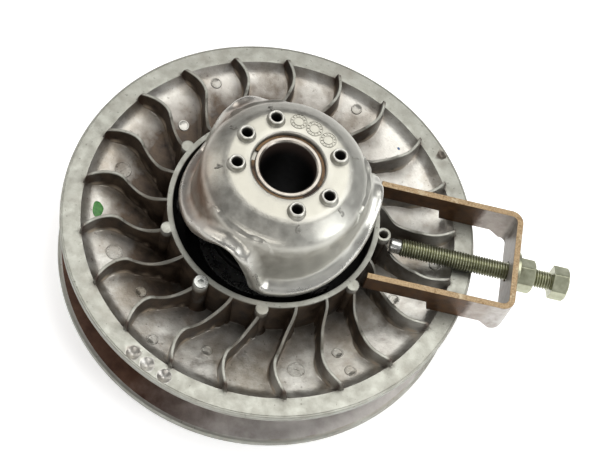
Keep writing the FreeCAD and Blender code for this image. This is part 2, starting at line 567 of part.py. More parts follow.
bend_out = bracket.newObject("PartDesign::Fillet", "BracketBendOutside")
bend_out.Base = (opening, upright_edges(opening.Shape, D["bracket_outer"], (D["arm_left"], -D["arm_right"])))
bend_out.setExpression("Radius", "Dims.bend_radius")
doc.recompute()
bend_in = bracket.newObject("PartDesign::Fillet", "BracketBendInside")
bend_in.Base = (bend_out, upright_edges(bend_out.Shape, x1, (y0, y1)))
bend_in.setExpression("Radius", "Dims.bend_inner_radius")
doc.recompute()
bracket.Tip = bend_in
bracket.Placement = lay
bracket.Label = "bracket_blank"
web_drill = cylinder("WebDrill", "web_hole", ("plate", 8.0), laid(D["bracket_outer"] - D["plate"] - 4.0, -D["screw_offset"], D["screw_height"]), out_dir)
keep(cut("BracketCut", bracket, [web_drill]), "bracket")

w0 = D["bracket_outer"] + 0.05
w_blank = cylinder("WasherBlank", "plain_washer_outer", "plain_washer_thick", laid(w0, -D["screw_offset"], D["screw_height"]), out_dir)
w_bore = cylinder("WasherBore", ("web_hole", -0.1), ("plain_washer_thick", 2.0), laid(w0 - 1.0, -D["screw_offset"], D["screw_height"]), out_dir)
keep(cut("PlainWasher", w_blank, [w_bore]), "bracket_washer")


def hexagon(name, start, thick, chamfer_both):
    """Hexagon along the screw axis with its corners turned down at the outer end."""
    rad = D["hex_flats"] / 2 / math.cos(math.radians(30))
    p = doc.addObject("Part::Prism", name)
    p.Polygon = 6
    p.setExpression("Circumradius", "Dims.hex_flats / 2 / cos(30)")
    p.setExpression("Height", expr(thick))
    turn = FreeCAD.Rotation(V(0, 0, 1), out_dir)
    p.Placement = FreeCAD.Placement(laid(start, -D["screw_offset"], D["screw_height"]), turn)
    t = num(thick)
    low = 1.3 if chamfer_both else 0.0
    prof = [V(0, 0, 0), V(rad + 0.01 - low * 1.2, 0, 0), V(rad + 0.01, 0, low), V(rad + 0.01, 0, t - 1.3), V(rad - 1.55, 0, t), V(0, 0, t)]
    if not chamfer_both:
        prof = [V(0, 0, 0), V(rad + 0.01, 0, 0)] + prof[3:]
    turned_end = Part.Face(Part.makePolygon(prof + [prof[0]])).revolve(V(0, 0, 0), V(0, 0, 1), 360)
    env_obj = doc.addObject("Part::Feature", name + "Envelope")
    env_obj.Shape = turned_end
    env_obj.Placement = FreeCAD.Placement(laid(start, -D["screw_offset"], D["screw_height"]), turn)
    c = doc.addObject("Part::Common", name + "Common")
    c.Base = p
    c.Tool = env_obj
    doc.recompute()
    return c


n0 = w0 + D["plain_washer_thick"] + 0.02
nut_hex = hexagon("NutHex", n0, "nut_thick", True)
nut_drill = cylinder("NutDrill", "nut_bore", ("nut_thick", 2.0), laid(n0 - 1.0, -D["screw_offset"], D["screw_height"]), out_dir)
keep(cut("Nut", nut_hex, [nut_drill]), "bracket_nut")

head_hex = hexagon("HeadHex", D["head_face"], "head_thick", False)
shank = cylinder("FeedShank", "screw_radius", ("head_face", -D["screw_start"] + 1.0), laid(D["screw_start"], -D["screw_offset"], D["screw_height"]), out_dir)
shank.setExpression("Height", "Dims.head_face - Dims.screw_start + 1")
feed = fuse("FeedFuse", [head_hex, shank])
socket = cylinder("TipSocket", "tip_socket", ("tip_stem_long", 0.4), laid(D["screw_start"], -D["screw_offset"], D["screw_height"]), out_dir)
keep(cut("FeedScrew", feed, [socket]), "feed_bolt")
tip_pad = cylinder("TipPad", "tip_radius", ("tip_stem_long", -1.0), laid(D["tip_start"], -D["screw_offset"], D["screw_height"]), out_dir)
tip_pad.setExpression("Height", "Dims.screw_start - Dims.tip_start - 0.1")
tip_stem = cylinder("TipStem", "tip_stem", ("tip_stem_long", 0.0), laid(D["screw_start"] - 0.3, -D["screw_offset"], D["screw_height"]), out_dir)
keep(fuse("BoltTip", [tip_pad, tip_stem]), "bolt_tip")

# ---------------------------------------------------------------- write the sub-parts
doc.recompute()
bad = [o.Name for o in doc.Objects if "Invalid" in o.State or "Error" in o.State]
if bad:
    raise RuntimeError("objects not computed: %s" % bad)
for label, obj in nodes.items():
    shape = obj.Shape
    if shape.isNull() or not shape.isValid() or not shape.Solids:
        raise RuntimeError("bad shape: " + label)
os.makedirs("parts", exist_ok=True)
for label, obj in nodes.items():
    shape = obj.Shape
    shape.exportStep("parts/%s.step" % label)
    b = shape.BoundBox
    print("%-20s solids %d  volume %9.0f mm3  z %.2f..%.2f  x %.1f..%.1f" % (
        label, len(shape.Solids), shape.Volume, b.ZMin, b.ZMax, b.XMin, b.XMax))
print(len(nodes), "nodes")
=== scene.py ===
import bpy
import bmesh
import math
import json
import numpy as np
from mathutils import Vector, Matrix


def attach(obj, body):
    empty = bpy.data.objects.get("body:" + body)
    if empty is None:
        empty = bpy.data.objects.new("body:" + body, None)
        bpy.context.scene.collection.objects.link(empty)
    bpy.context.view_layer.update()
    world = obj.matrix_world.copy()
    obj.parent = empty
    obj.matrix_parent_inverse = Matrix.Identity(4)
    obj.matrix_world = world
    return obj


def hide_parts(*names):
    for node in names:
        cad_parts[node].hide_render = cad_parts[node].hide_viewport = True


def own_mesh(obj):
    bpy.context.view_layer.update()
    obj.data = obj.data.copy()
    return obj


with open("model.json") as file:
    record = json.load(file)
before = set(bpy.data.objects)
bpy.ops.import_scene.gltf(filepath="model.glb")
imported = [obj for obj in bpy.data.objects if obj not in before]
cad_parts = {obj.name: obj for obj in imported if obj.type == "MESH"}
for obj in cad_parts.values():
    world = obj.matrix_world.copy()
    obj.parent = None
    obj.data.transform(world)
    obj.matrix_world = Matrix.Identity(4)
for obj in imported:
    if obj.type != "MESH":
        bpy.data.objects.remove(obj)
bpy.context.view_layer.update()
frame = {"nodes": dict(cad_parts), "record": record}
BODIES = frame["record"]["behaviour"]["bodies"]
BODY_OF = {n: b for b, names in BODIES.items() for n in names}
MM = 0.001
RIM = 133.5
TOP = 50.0

# ------------------------------------------------------------------ camera
F_PX, DIST, ELEV, ROLL, SU, SV = 1488.39, 7.1219, math.radians(61.34), math.radians(20.17), -0.13833, 0.066586
back = Vector((0, -math.cos(ELEV), math.sin(ELEV)))
right0, up0 = Vector((1, 0, 0)), Vector((0, math.sin(ELEV), math.cos(ELEV)))
rgt = math.cos(ROLL) * right0 + math.sin(ROLL) * up0
upv = -math.sin(ROLL) * right0 + math.cos(ROLL) * up0
eye = (DIST * back - SU * rgt - SV * upv) * (RIM * MM) + Vector((0, 0, TOP * MM))
cam_data = bpy.data.cameras.new("camera")
cam = bpy.data.objects.new("camera", cam_data)
bpy.context.scene.collection.objects.link(cam)
cam.matrix_world = Matrix((
    (rgt.x, upv.x, back.x, eye.x), (rgt.y, upv.y, back.y, eye.y), (rgt.z, upv.z, back.z, eye.z), (0, 0, 0, 1)))
cam_data.sensor_fit = "HORIZONTAL"
cam_data.sensor_width = 36.0
cam_data.lens = 36.0 * F_PX / 600.0
cam_data.clip_start, cam_data.clip_end = 0.01, 50.0
bpy.context.scene.camera = cam
bpy.context.scene.view_settings.view_transform = "Standard"


# ------------------------------------------------------------------ node helpers
class Mat:
    """A small builder round one material's node tree."""

    def __init__(self, name):
        self.m = bpy.data.materials.new(name)
        self.m.use_nodes = True
        self.t = self.m.node_tree
        self.b = self.t.nodes["Principled BSDF"]
        co = self.t.nodes.new("ShaderNodeTexCoord")
        self.co = co.outputs["Object"]

    def new(self, kind, **props):
        n = self.t.nodes.new(kind)
        for k, v in props.items():
            setattr(n, k, v)
        return n

    def link(self, a, b):
        self.t.links.new(a, b)

    def noise(self, scale, detail=4.0, rough=0.55, vec=None):
        n = self.new("ShaderNodeTexNoise")
        n.inputs["Scale"].default_value = scale
        n.inputs["Detail"].default_value = detail
        n.inputs["Roughness"].default_value = rough
        self.link(vec or self.co, n.inputs["Vector"])
        return n.outputs["Fac"]

    def stretch(self, x, y, z):
        n = self.new("ShaderNodeMapping")
        n.inputs["Scale"].default_value = (x, y, z)
        self.link(self.co, n.inputs["Vector"])
        return n.outputs["Vector"]

    def remap(self, fac, lo, hi, a=0.0, b=1.0):
        n = self.new("ShaderNodeMapRange")
        n.clamp = True
        for k, v in (("From Min", lo), ("From Max", hi), ("To Min", a), ("To Max", b)):
            n.inputs[k].default_value = v
        self.link(fac, n.inputs["Value"])
        return n.outputs["Result"]

    def math(self, op, a, b=None):
        n = self.new("ShaderNodeMath", operation=op)
        for i, v in enumerate((a, b)):
            if v is None:
                continue
            if isinstance(v, (int, float)):
                n.inputs[i].default_value = v
            else:
                self.link(v, n.inputs[i])
        return n.outputs[0]

    def mix(self, fac, a, b, blend="MIX"):
        n = self.new("ShaderNodeMix", data_type="RGBA", blend_type=blend)
        shade = [s for s in n.inputs if s.type == "RGBA"]
        for sock, v in ((n.inputs[0], fac), (shade[0], a), (shade[1], b)):
            if isinstance(v, (int, float)):
                sock.default_value = v
            elif isinstance(v, tuple):
                sock.default_value = (v[0], v[1], v[2], 1.0)
            else:
                self.link(v, sock)
        return [s for s in n.outputs if s.type == "RGBA"][0]

    def attr(self, name):
        n = self.new("ShaderNodeAttribute", attribute_name=name)
        return n.outputs["Fac"]

    def polar(self):
        """Radius and height in metres from the object coordinates."""
        s = self.new("ShaderNodeSeparateXYZ")
        self.link(self.co, s.inputs[0])
        r = self.math("SQRT", self.math("ADD", self.math("MULTIPLY", s.outputs[0], s.outputs[0]),
                                        self.math("MULTIPLY", s.outputs[1], s.outputs[1])))
        return r, s.outputs[2], s.outputs[0], s.outputs[1]

    def bump(self, height, strength, distance):
        n = self.new("ShaderNodeBump")
        n.inputs["Strength"].default_value = strength
        n.inputs["Distance"].default_value = distance
        self.link(height, n.inputs["Height"])
        self.link(n.outputs["Normal"], self.b.inputs["Normal"])
        return n

    def out(self, color=None, rough=None, metal=None):
        for sock, v in (("Base Color", color), ("Roughness", rough), ("Metallic", metal)):
            if v is None:
                continue
            if isinstance(v, (int, float)):
                self.b.inputs[sock].default_value = v
            elif isinstance(v, tuple):
                self.b.inputs[sock].default_value = (v[0], v[1], v[2], 1.0)
            else:
                self.link(v, self.b.inputs[sock])
        return self.m


def srgb(r, g, b):
    return tuple(((c / 255.0 + 0.055) / 1.055) ** 2.4 if c > 10 else c / 255.0 / 12.92 for c in (r, g, b))


def cast_sheave_material():
    """Cast aluminium: grey machined lands, silvery floors; brown on flanks and in deep pockets, partly staining and
    partly painted shade; a painted highlight along the fin roots and painted shade in the ring cavity.
    """
    k = Mat("cast_sheave")
    r, z, x, y = k.polar()
    big, mid, fine = k.noise(24.0, 6.0, 0.6), k.noise(120.0, 6.0, 0.62), k.noise(900.0, 3.0, 0.6)
    floor = k.mix(k.remap(mid, 0.32, 0.68), srgb(150, 146, 140), srgb(206, 205, 199))
    floor = k.mix(k.remap(big, 0.46, 0.66, 0.0, 0.8), floor, srgb(128, 118, 103))
    brown = k.mix(k.remap(mid, 0.32, 0.68), srgb(34, 25, 19), srgb(84, 70, 56))
    # brown mask: partly staining, partly painted shade on flanks and deep pockets, growing towards +y and -x
    brown_darkening = k.attr("brown_darkening")
    wob = k.math("ADD", k.math("MULTIPLY", k.math("SUBTRACT", big, 0.5), 1.1), k.math("MULTIPLY", k.math("SUBTRACT", mid, 0.5), 0.7))
    across = k.math("SUBTRACT", k.math("MULTIPLY", y, 3.2), k.math("MULTIPLY", x, 0.8))
    fac = k.remap(k.math("ADD", k.math("ADD", brown_darkening, across), wob), 0.22, 0.85)
    col = k.mix(fac, floor, brown)
    # painted highlight: a light line along the concave root fillet of each fin
    col = k.mix(k.math("MULTIPLY", k.attr("root_shading"), k.remap(mid, 0.2, 0.46)), col, srgb(196, 180, 160))
    machined = k.mix(k.remap(mid, 0.3, 0.72), srgb(162, 163, 155), srgb(144, 143, 134))
    machined = k.mix(k.remap(big, 0.54, 0.74, 0.0, 0.35), machined, srgb(128, 116, 104))
    mach = k.attr("machined")
    col = k.mix(mach, col, machined)
    # painted shade: dark brown in the corner where each fin end meets the land
    col = k.mix(k.math("MULTIPLY", k.attr("fin_end_shade"), k.remap(mid, 0.3, 0.55)), col, srgb(58, 38, 28))
    specks = k.remap(k.noise(420.0, 2.0, 0.5), 0.67, 0.73)
    col = k.mix(k.math("MULTIPLY", specks, 0.4), col, srgb(52, 40, 34))
    # painted shade: near black inside the ring cavity and on the roller lugs
    col = k.mix(k.attr("dark"), col, srgb(9, 7, 6))
    rough = k.math("ADD", k.remap(mid, 0.3, 0.7, 0.3, 0.46), k.math("MULTIPLY", fac, 0.08))
    rough = k.math("ADD", rough, k.math("MULTIPLY", mach, 0.10))
    rough = k.math("ADD", rough, k.math("MULTIPLY", k.attr("dark"), 0.3))
    metal = k.math("SUBTRACT", k.math("SUBTRACT", 0.82, k.math("MULTIPLY", fac, 0.34)), k.math("MULTIPLY", k.attr("dark"), 0.4))
    k.bump(k.math("ADD", k.math("MULTIPLY", fine, 0.6), mid), 0.3, 0.0007)
    return k.out(col, rough, metal)


def belt_face_material():
    """Worn belt face: brown over turned aluminium, turning grey towards +x."""
    k = Mat("belt_face")
    r, z, x, y = k.polar()
    rings = k.math("SINE", k.math("MULTIPLY", r, 9000.0))
    mid = k.noise(60.0, 6.0, 0.62)
    col = k.mix(k.remap(mid, 0.3, 0.7), srgb(66, 44, 34), srgb(112, 84, 68))
    grey = k.mix(k.remap(mid, 0.3, 0.7), srgb(146, 141, 137), srgb(190, 186, 182))
    swing = k.math("ADD", x, k.math("MULTIPLY", k.math("SUBTRACT", mid, 0.5), 0.05))
    col = k.mix(k.remap(swing, -0.045, 0.035), col, grey)
    edge = k.remap(r, 0.1322, 0.1333)
    col = k.mix(edge, col, srgb(150, 144, 138))
    k.bump(k.math("ADD", k.math("MULTIPLY", rings, 0.3), k.noise(700.0, 3.0)), 0.15, 0.0003)
    return k.out(col, k.remap(mid, 0.3, 0.7, 0.34, 0.48), 0.6)


def cam_material():
    """Tumbled cast aluminium: warm grey, rusty staining on the bell's left, lip brightened where worn and by a painted
    highlight; a painted highlight on the right side and painted shade under the bell, in the holes and in the dials.
    """
    k = Mat("cam_cast")
    r, z, x, y = k.polar()
    big, mid, fine = k.noise(26.0, 6.0, 0.6), k.noise(150.0, 6.0, 0.62), k.noise(1300.0, 3.0, 0.6)
    col = k.mix(k.remap(mid, 0.3, 0.7), srgb(146, 144, 136), srgb(176, 174, 166))
    col = k.mix(k.remap(big, 0.54, 0.76, 0.0, 0.28), col, srgb(126, 118, 104))
    # painted highlight: the right side of the cam is painted lighter
    col = k.mix(k.remap(x, 0.004, 0.040, 0.0, 0.6), col, srgb(206, 206, 198))
    side = k.remap(x, -0.012, -0.045)
    low = k.remap(z, 0.119, 0.106)
    brown_darkening = k.math("MULTIPLY", k.math("MULTIPLY", side, low), k.remap(big, 0.32, 0.56))
    col = k.mix(k.math("MULTIPLY", brown_darkening, 0.85), col, srgb(112, 78, 56))
    disc = k.remap(r, 0.0375, 0.0355)
    col = k.mix(k.math("MULTIPLY", disc, k.math("MULTIPLY", k.remap(z, 0.1215, 0.1222), 0.6)), col, srgb(168, 166, 155))
    # painted shade: near black under the bell, in the boss holes, round the boss bases, on the numbers and low in the
    # dials
    dark = k.math("MULTIPLY", k.attr("painted_shade"), 0.94)
    col = k.mix(dark, col, srgb(20, 16, 14))
    # wear on edges and ramp, with a painted highlight along the lip bead and rounded boss tops
    wear_and_highlight = k.attr("wear_and_highlight")
    col = k.mix(k.math("MULTIPLY", wear_and_highlight, 0.6), col, srgb(200, 199, 193))
    rough = k.math("SUBTRACT", k.remap(mid, 0.3, 0.7, 0.3, 0.42), k.math("MULTIPLY", wear_and_highlight, 0.07))
    rough = k.math("ADD", rough, k.math("MULTIPLY", k.attr("painted_shade"), 0.3))
    rough = k.math("ADD", rough, k.math("MULTIPLY", disc, 0.1))
    metal = k.math("SUBTRACT", 0.85, k.math("MULTIPLY", k.attr("painted_shade"), 0.6))
    k.bump(k.math("ADD", k.math("MULTIPLY", fine, 0.7), mid), 0.24, 0.0005)
    return k.out(col, rough, metal)


def metal_material(name, dark, light, rough=(0.25, 0.4), metal=0.9, grain=500.0, bump=0.12, spots=None, spot_at=0.62, root_shading=None):
    k = Mat(name)
    mid, big = k.noise(grain * 0.25, 5.0, 0.6), k.noise(grain * 0.08, 4.0)
    col = k.mix(k.remap(mid, 0.3, 0.7), dark, light)
    if spots:
        col = k.mix(k.remap(big, spot_at, spot_at + 0.12), col, spots)
    # painted shade in the thread roots
    if root_shading:
        col = k.mix(k.attr("root_shading"), col, root_shading)
    k.bump(k.noise(grain * 2.0, 3.0, 0.6), bump, 0.0003)
    return k.out(col, k.remap(mid, 0.3, 0.7, rough[0], rough[1]), metal)


def plated_bracket_material():
    """Yellow-zinc plate: tan cut edges; the faces carry a painted reflection, brown of the pulley near it and grey and
    white of the floor beyond the rim.
    """
    k = Mat("bracket_plate")
    geo = k.new("ShaderNodeNewGeometry")
    nrm = k.new("ShaderNodeSeparateXYZ")
    k.link(geo.outputs["Normal"], nrm.inputs[0])
    r, z, x, y = k.polar()
    mid, fine = k.noise(160.0, 6.0, 0.65), k.noise(900.0, 4.0, 0.6)
    edge = k.mix(k.remap(fine, 0.35, 0.65), srgb(118, 97, 68), srgb(148, 127, 96))
    edge = k.mix(k.remap(k.noise(420.0, 3.0), 0.58, 0.7), edge, srgb(104, 80, 48))
    edge = k.mix(k.remap(mid, 0.55, 0.75), edge, srgb(188, 176, 150))
    # painted reflection: brown of the pulley on faces near it, grey and white of the floor beyond the rim
    brown = k.mix(k.remap(mid, 0.3, 0.7), srgb(52, 34, 20), srgb(94, 66, 40))
    grey = k.mix(k.remap(mid, 0.3, 0.7), srgb(138, 128, 120), srgb(176, 168, 160))
    beyond_rim_reflection = k.remap(k.math("ADD", r, k.math("MULTIPLY", k.math("SUBTRACT", mid, 0.5), 0.006)), 0.1335, 0.1375)
    face = k.mix(beyond_rim_reflection, brown, grey)
    white_floor_reflection = k.math("MULTIPLY", k.remap(x, 0.145, 0.150), k.remap(mid, 0.3, 0.6))
    face = k.mix(k.math("MULTIPLY", white_floor_reflection, 0.6), face, srgb(196, 196, 194))
    up = k.remap(k.math("ABSOLUTE", nrm.outputs[2]), 0.55, 0.8)
    col = k.mix(up, face, edge)
    k.bump(k.math("ADD", fine, mid), 0.22, 0.0004)
    return k.out(col, k.remap(mid, 0.3, 0.7, 0.3, 0.5), 0.5)


def plain_material(name, dark, light, rough, grain=300.0, bump=0.15, metal=0.0):
    k = Mat(name)
    mid = k.noise(grain, 5.0, 0.6)
    k.bump(k.noise(grain * 3.0, 3.0), bump, 0.0003)
    return k.out(k.mix(k.remap(mid, 0.3, 0.7), dark, light), k.remap(mid, 0.3, 0.7, rough - 0.06, rough + 0.08), metal)


M_SHEAVE = cast_sheave_material()
M_BELT = belt_face_material()
M_CAM = cam_material()
M_BRACKET = plated_bracket_material()
M_POST = metal_material("post_steel", srgb(150, 144, 138), srgb(196, 192, 186), (0.24, 0.36), 0.9, 700.0, 0.1, srgb(84, 66, 54), 0.58)
def post_material():
    """Hub post: bright turned end, painted shade darkening down the bore."""
    k = Mat("post_steel")
    r, z, x, y = k.polar()
    mid, big = k.noise(170.0, 5.0, 0.6), k.noise(50.0, 5.0, 0.6)
    col = k.mix(k.remap(mid, 0.3, 0.7), srgb(132, 126, 118), srgb(168, 163, 155))
    col = k.mix(k.remap(big, 0.56, 0.7, 0.0, 0.6), col, srgb(84, 66, 54))
    # painted shade: the bore darkens to near black further down
    bore = k.math("MULTIPLY", k.remap(r, 0.01775, 0.0175), k.remap(z, 0.1203, 0.1180, 0.0, 1.0))
    col = k.mix(bore, col, k.mix(k.remap(z, 0.104, 0.118), srgb(8, 5, 4), srgb(58, 44, 38)))
    k.bump(k.noise(1400.0, 3.0, 0.6), 0.1, 0.0003)
    rough = k.math("ADD", k.remap(mid, 0.3, 0.7, 0.28, 0.4), k.math("MULTIPLY", bore, 0.2))
    return k.out(col, rough, k.math("SUBTRACT", 0.88, k.math("MULTIPLY", bore, 0.6)))


M_POST = post_material()
M_BRIGHT = metal_material("ground_steel", srgb(170, 172, 168), srgb(206, 208, 205), (0.22, 0.34), 0.92, 700.0, 0.08, srgb(120, 104, 88), 0.66)
M_SNAP = metal_material("bronzed_ring", srgb(52, 40, 30), srgb(92, 72, 50), (0.26, 0.4), 0.85, 600.0, 0.12, srgb(30, 22, 18), 0.55)
M_ZINC = metal_material("grey_zinc", srgb(142, 144, 120), srgb(186, 188, 164), (0.26, 0.38), 0.82, 520.0, 0.14, srgb(112, 106, 80), 0.62, srgb(112, 112, 82))
M_SPRING = metal_material("spring_steel", srgb(12, 10, 9), srgb(26, 22, 20), (0.45, 0.6), 0.3, 500.0, 0.12, srgb(50, 32, 22), 0.62)
M_BRONZE = metal_material("sintered_bronze", srgb(128, 92, 50), srgb(170, 130, 80), (0.4, 0.55), 0.8, 800.0, 0.2)
M_NYLON = plain_material("black_nylon", srgb(14, 13, 13), srgb(26, 24, 23), 0.55)
M_RUBBER = plain_material("seal_rubber", srgb(18, 18, 18), srgb(32, 32, 32), 0.6)
M_GREEN = plain_material("green_paint", srgb(24, 92, 26), srgb(66, 138, 48), 0.42, 420.0, 0.3)
M_BLUE = plain_material("blue_paint", srgb(20, 60, 110), srgb(46, 96, 150), 0.45, 500.0, 0.3)


# ------------------------------------------------------------------ mesh helpers
def make_piece(name, verts, faces, body, mats, face_mats=None, sharp=34.0, attrs=None):
    me = bpy.data.meshes.new(name)
    me.from_pydata([tuple(v) for v in verts], [], [tuple(f) for f in faces])
    me.update()
    ob = bpy.data.objects.new(name, me)
    bpy.context.scene.collection.objects.link(ob)
    for m in mats if isinstance(mats, (list, tuple)) else [mats]:
        me.materials.append(m)
    if face_mats is not None:
        me.polygons.foreach_set("material_index", np.asarray(face_mats, np.int32))
    if attrs:
        for k, v in attrs.items():
            a = me.attributes.new(k, "FLOAT", "POINT")
            a.data.foreach_set("value", np.asarray(v, np.float32))
    me.polygons.foreach_set("use_smooth", np.ones(len(me.polygons), bool))
    if sharp is not None:
        me.set_sharp_from_angle(angle=math.radians(sharp))
    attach(ob, body)
    return ob


def lattice_faces(rows, cols, wrap_rows=True, wrap_cols=True, flip=False):
    i = np.arange(rows if wrap_rows else rows - 1)
    j = np.arange(cols if wrap_cols else cols - 1)
    I, J = np.meshgrid(i, j, indexing="ij")
    a = I * cols + J
    b = I * cols + (J + 1) % cols
    c = ((I + 1) % rows) * cols + (J + 1) % cols
    d = ((I + 1) % rows) * cols + J
    q = np.stack([a, b, c, d], -1).reshape(-1, 4)
    return q[:, ::-1] if flip else q


def outward(verts, faces):
    """True if the closed quad mesh encloses positive volume."""
    v = np.asarray(verts)
    f = np.asarray(faces)
    p0, p1, p2, p3 = v[f[:, 0]], v[f[:, 1]], v[f[:, 2]], v[f[:, 3]]
    vol = (np.einsum("ij,ij->i", p0, np.cross(p1, p2)) + np.einsum("ij,ij->i", p0, np.cross(p2, p3))).sum()
    return vol > 0


def lathe_grid(profile, cols=96, centre=(0, 0, 0), axis=(0, 0, 1)):
    """Closed profile loop [(r, z)] turned about an axis through centre, millimetres in, metres out."""
    prof = np.asarray(profile, float)
    th = np.arange(cols) * 2 * math.pi / cols
    ax = np.asarray(axis, float) / np.linalg.norm(axis)
    ref = np.array([0, 0, 1.0]) if abs(ax[2]) < 0.9 else np.array([1.0, 0, 0])
    u = np.cross(ref, ax)
    u /= np.linalg.norm(u)
    w = np.cross(ax, u)
    P = (np.asarray(centre)[None, None, :] + prof[:, 1][:, None, None] * ax[None, None, :]
         + prof[:, 0][:, None, None] * (np.cos(th)[None, :, None] * u + np.sin(th)[None, :, None] * w))
    V = P.reshape(-1, 3) * MM
    Fq = lattice_faces(len(prof), cols)
    if not outward(V, Fq):
        Fq = Fq[:, ::-1]
    return V, Fq


def arc(cx, cy, rad, a0, a1, n=5):
    return [(cx + rad * math.cos(math.radians(a0 + (a1 - a0) * i / n)),
             cy + rad * math.sin(math.radians(a0 + (a1 - a0) * i / n))) for i in range(n + 1)]


def merge(parts):
    V, Fq, n = [], [], 0
    for v, f in parts:
        V.append(v)
        Fq.append(np.asarray(f) + n)
        n += len(v)
    return np.concatenate(V), np.concatenate(Fq)


def smax(a, b, k):
    h = np.clip(k - np.abs(a - b), 0, None) / k
    return np.maximum(a, b) + h * h * k * 0.25


def smin(a, b, k):
    return -smax(-a, -b, k)


# ------------------------------------------------------------------ sliding sheave
FIN_Q = np.array([.500, .505, .54, .58, .62, .66, .70, .74, .78, .82, .86, .91])
FIN_T = np.array([8.35, 8.29, 7.11, 4.50, 2.32, .70, -.99, -2.23, -2.47, -1.96, -.87, .89])


def spline(xq, yq, x):
    """Natural cubic spline."""
    n = len(xq)
    hh = np.diff(xq)
    A = np.zeros((n, n))
    B = np.zeros(n)
    A[0, 0] = A[-1, -1] = 1
    for i in range(1, n - 1):
        A[i, i - 1], A[i, i], A[i, i + 1] = hh[i - 1], 2 * (hh[i - 1] + hh[i]), hh[i]
        B[i] = 6 * ((yq[i + 1] - yq[i]) / hh[i] - (yq[i] - yq[i - 1]) / hh[i - 1])
    m = np.linalg.solve(A, B)
    x = np.clip(x, xq[0], xq[-1])
    i = np.clip(np.searchsorted(xq, x) - 1, 0, n - 2)
    t0, t1, w = x - xq[i], xq[i + 1] - x, hh[i]
    return (m[i] * t1 ** 3 + m[i + 1] * t0 ** 3) / (6 * w) + (yq[i] / w - m[i] * w / 6) * t1 + (yq[i + 1] / w - m[i + 1] * w / 6) * t0


CREST_Q = np.array([.495, .505, .52, .54, .56, .58, .60, .62, .64, .66, .68, .70, .712, .73, .76, .80, .84, .87, .893, .899, .906, .912])
CREST_H = np.array([.1176, .1176, .1100, .0930, .0670, .0430, .0262, .0185, .0180, .0225, .0295, .0385, .0480, .0600, .0640, .0640, .0632, .0615, .0590, .0450, .0150, -.012])


def crest_z(r):
    return TOP + RIM * np.interp(r / RIM, CREST_Q, CREST_H)


def fin_turn(r):
    return np.radians(spline(FIN_Q, FIN_T, r / RIM))


def belt_top(r):
    return 25.15 + 0.2406 * (r - 50.0)


def floor_z(r):
    base = belt_top(r) + 4.6
    slope = TOP - (120.6 - r) * 1.0
    land = np.minimum(TOP, slope)
    return smax(base, land, 2.2)


BOSS_AZ = (8.3, 128.3, 248.3)
PAD_AZ = (41.9, 93.3, 161.9, 213.3, 281.9, 333.3)
LAY = math.radians(8.3)


def sheave_height(r, th, d):
    """Top surface height; d is the distance from the nearest fin's centre line."""
    fl = floor_z(r)
    half = 0.95
    over = np.clip(np.abs(d) - half, 0, None)
    crest = crest_z(r)
    fin = crest - over * 13.0 - 0.3 * np.clip((np.abs(d) - 0.45) / 0.55, 0, 1) ** 2
    ring = 65.7 - np.clip(r - 67.75, 0, None) * 26.0
    z = smax(fl, fin, 2.4)
    z = smax(z, ring, 3.2)
    z = np.minimum(z, 65.7)
    x, y = r * np.cos(th), r * np.sin(th)
    for a in BOSS_AZ:
        t = math.radians(a)
        dist = np.hypot(x - 70.8 * math.cos(t), y - 70.8 * math.sin(t))
        z = np.where(dist < 3.7, np.minimum(z, 53.0), z)
    s = x * math.cos(LAY) + y * math.sin(LAY)
    lat = -x * math.sin(LAY) + y * math.cos(LAY) + 1.75
    under = 56.9 - np.sqrt(np.clip(5.35 ** 2 - lat ** 2, 0, None))
    z = np.where((s > 75.9) & (s < 90.0) & (np.abs(lat) < 5.3), np.minimum(z, under), z)
    return z


def sector_columns(r, count, turn, offsets, mids):
    """Angles of the columns at radius r: clustered round each of count fins, even between them."""
    pitch = 2 * math.pi / count
    eps = 0.05
    slope = r * (turn(np.array([r + eps])) - turn(np.array([r - eps])))[0] / (2 * eps)
    cosp = 1 / math.sqrt(1 + slope * slope)
    off = np.asarray(offsets)
    a_left = off / (r * cosp)
    gap0, gap1 = a_left[-1], pitch - a_left[-1]
    mid = gap0 + (gap1 - gap0) * (np.arange(mids) + 1) / (mids + 1)
    right = pitch - a_left[::-1][:-1]
    al = np.concatenate([a_left, mid, right])
    dist = np.minimum(al, pitch - al) * r * cosp
    base = turn(np.array([r]))[0]
    th = (np.arange(count)[:, None] * pitch + al[None, :] + base).reshape(-1)
    return th, np.tile(dist, count)


OFFS = [0, .4, .7, .9, 1.02, 1.16, 1.36, 1.6, 1.85, 2.15, 2.5, 3.0, 3.8, 5.0, 7.0]


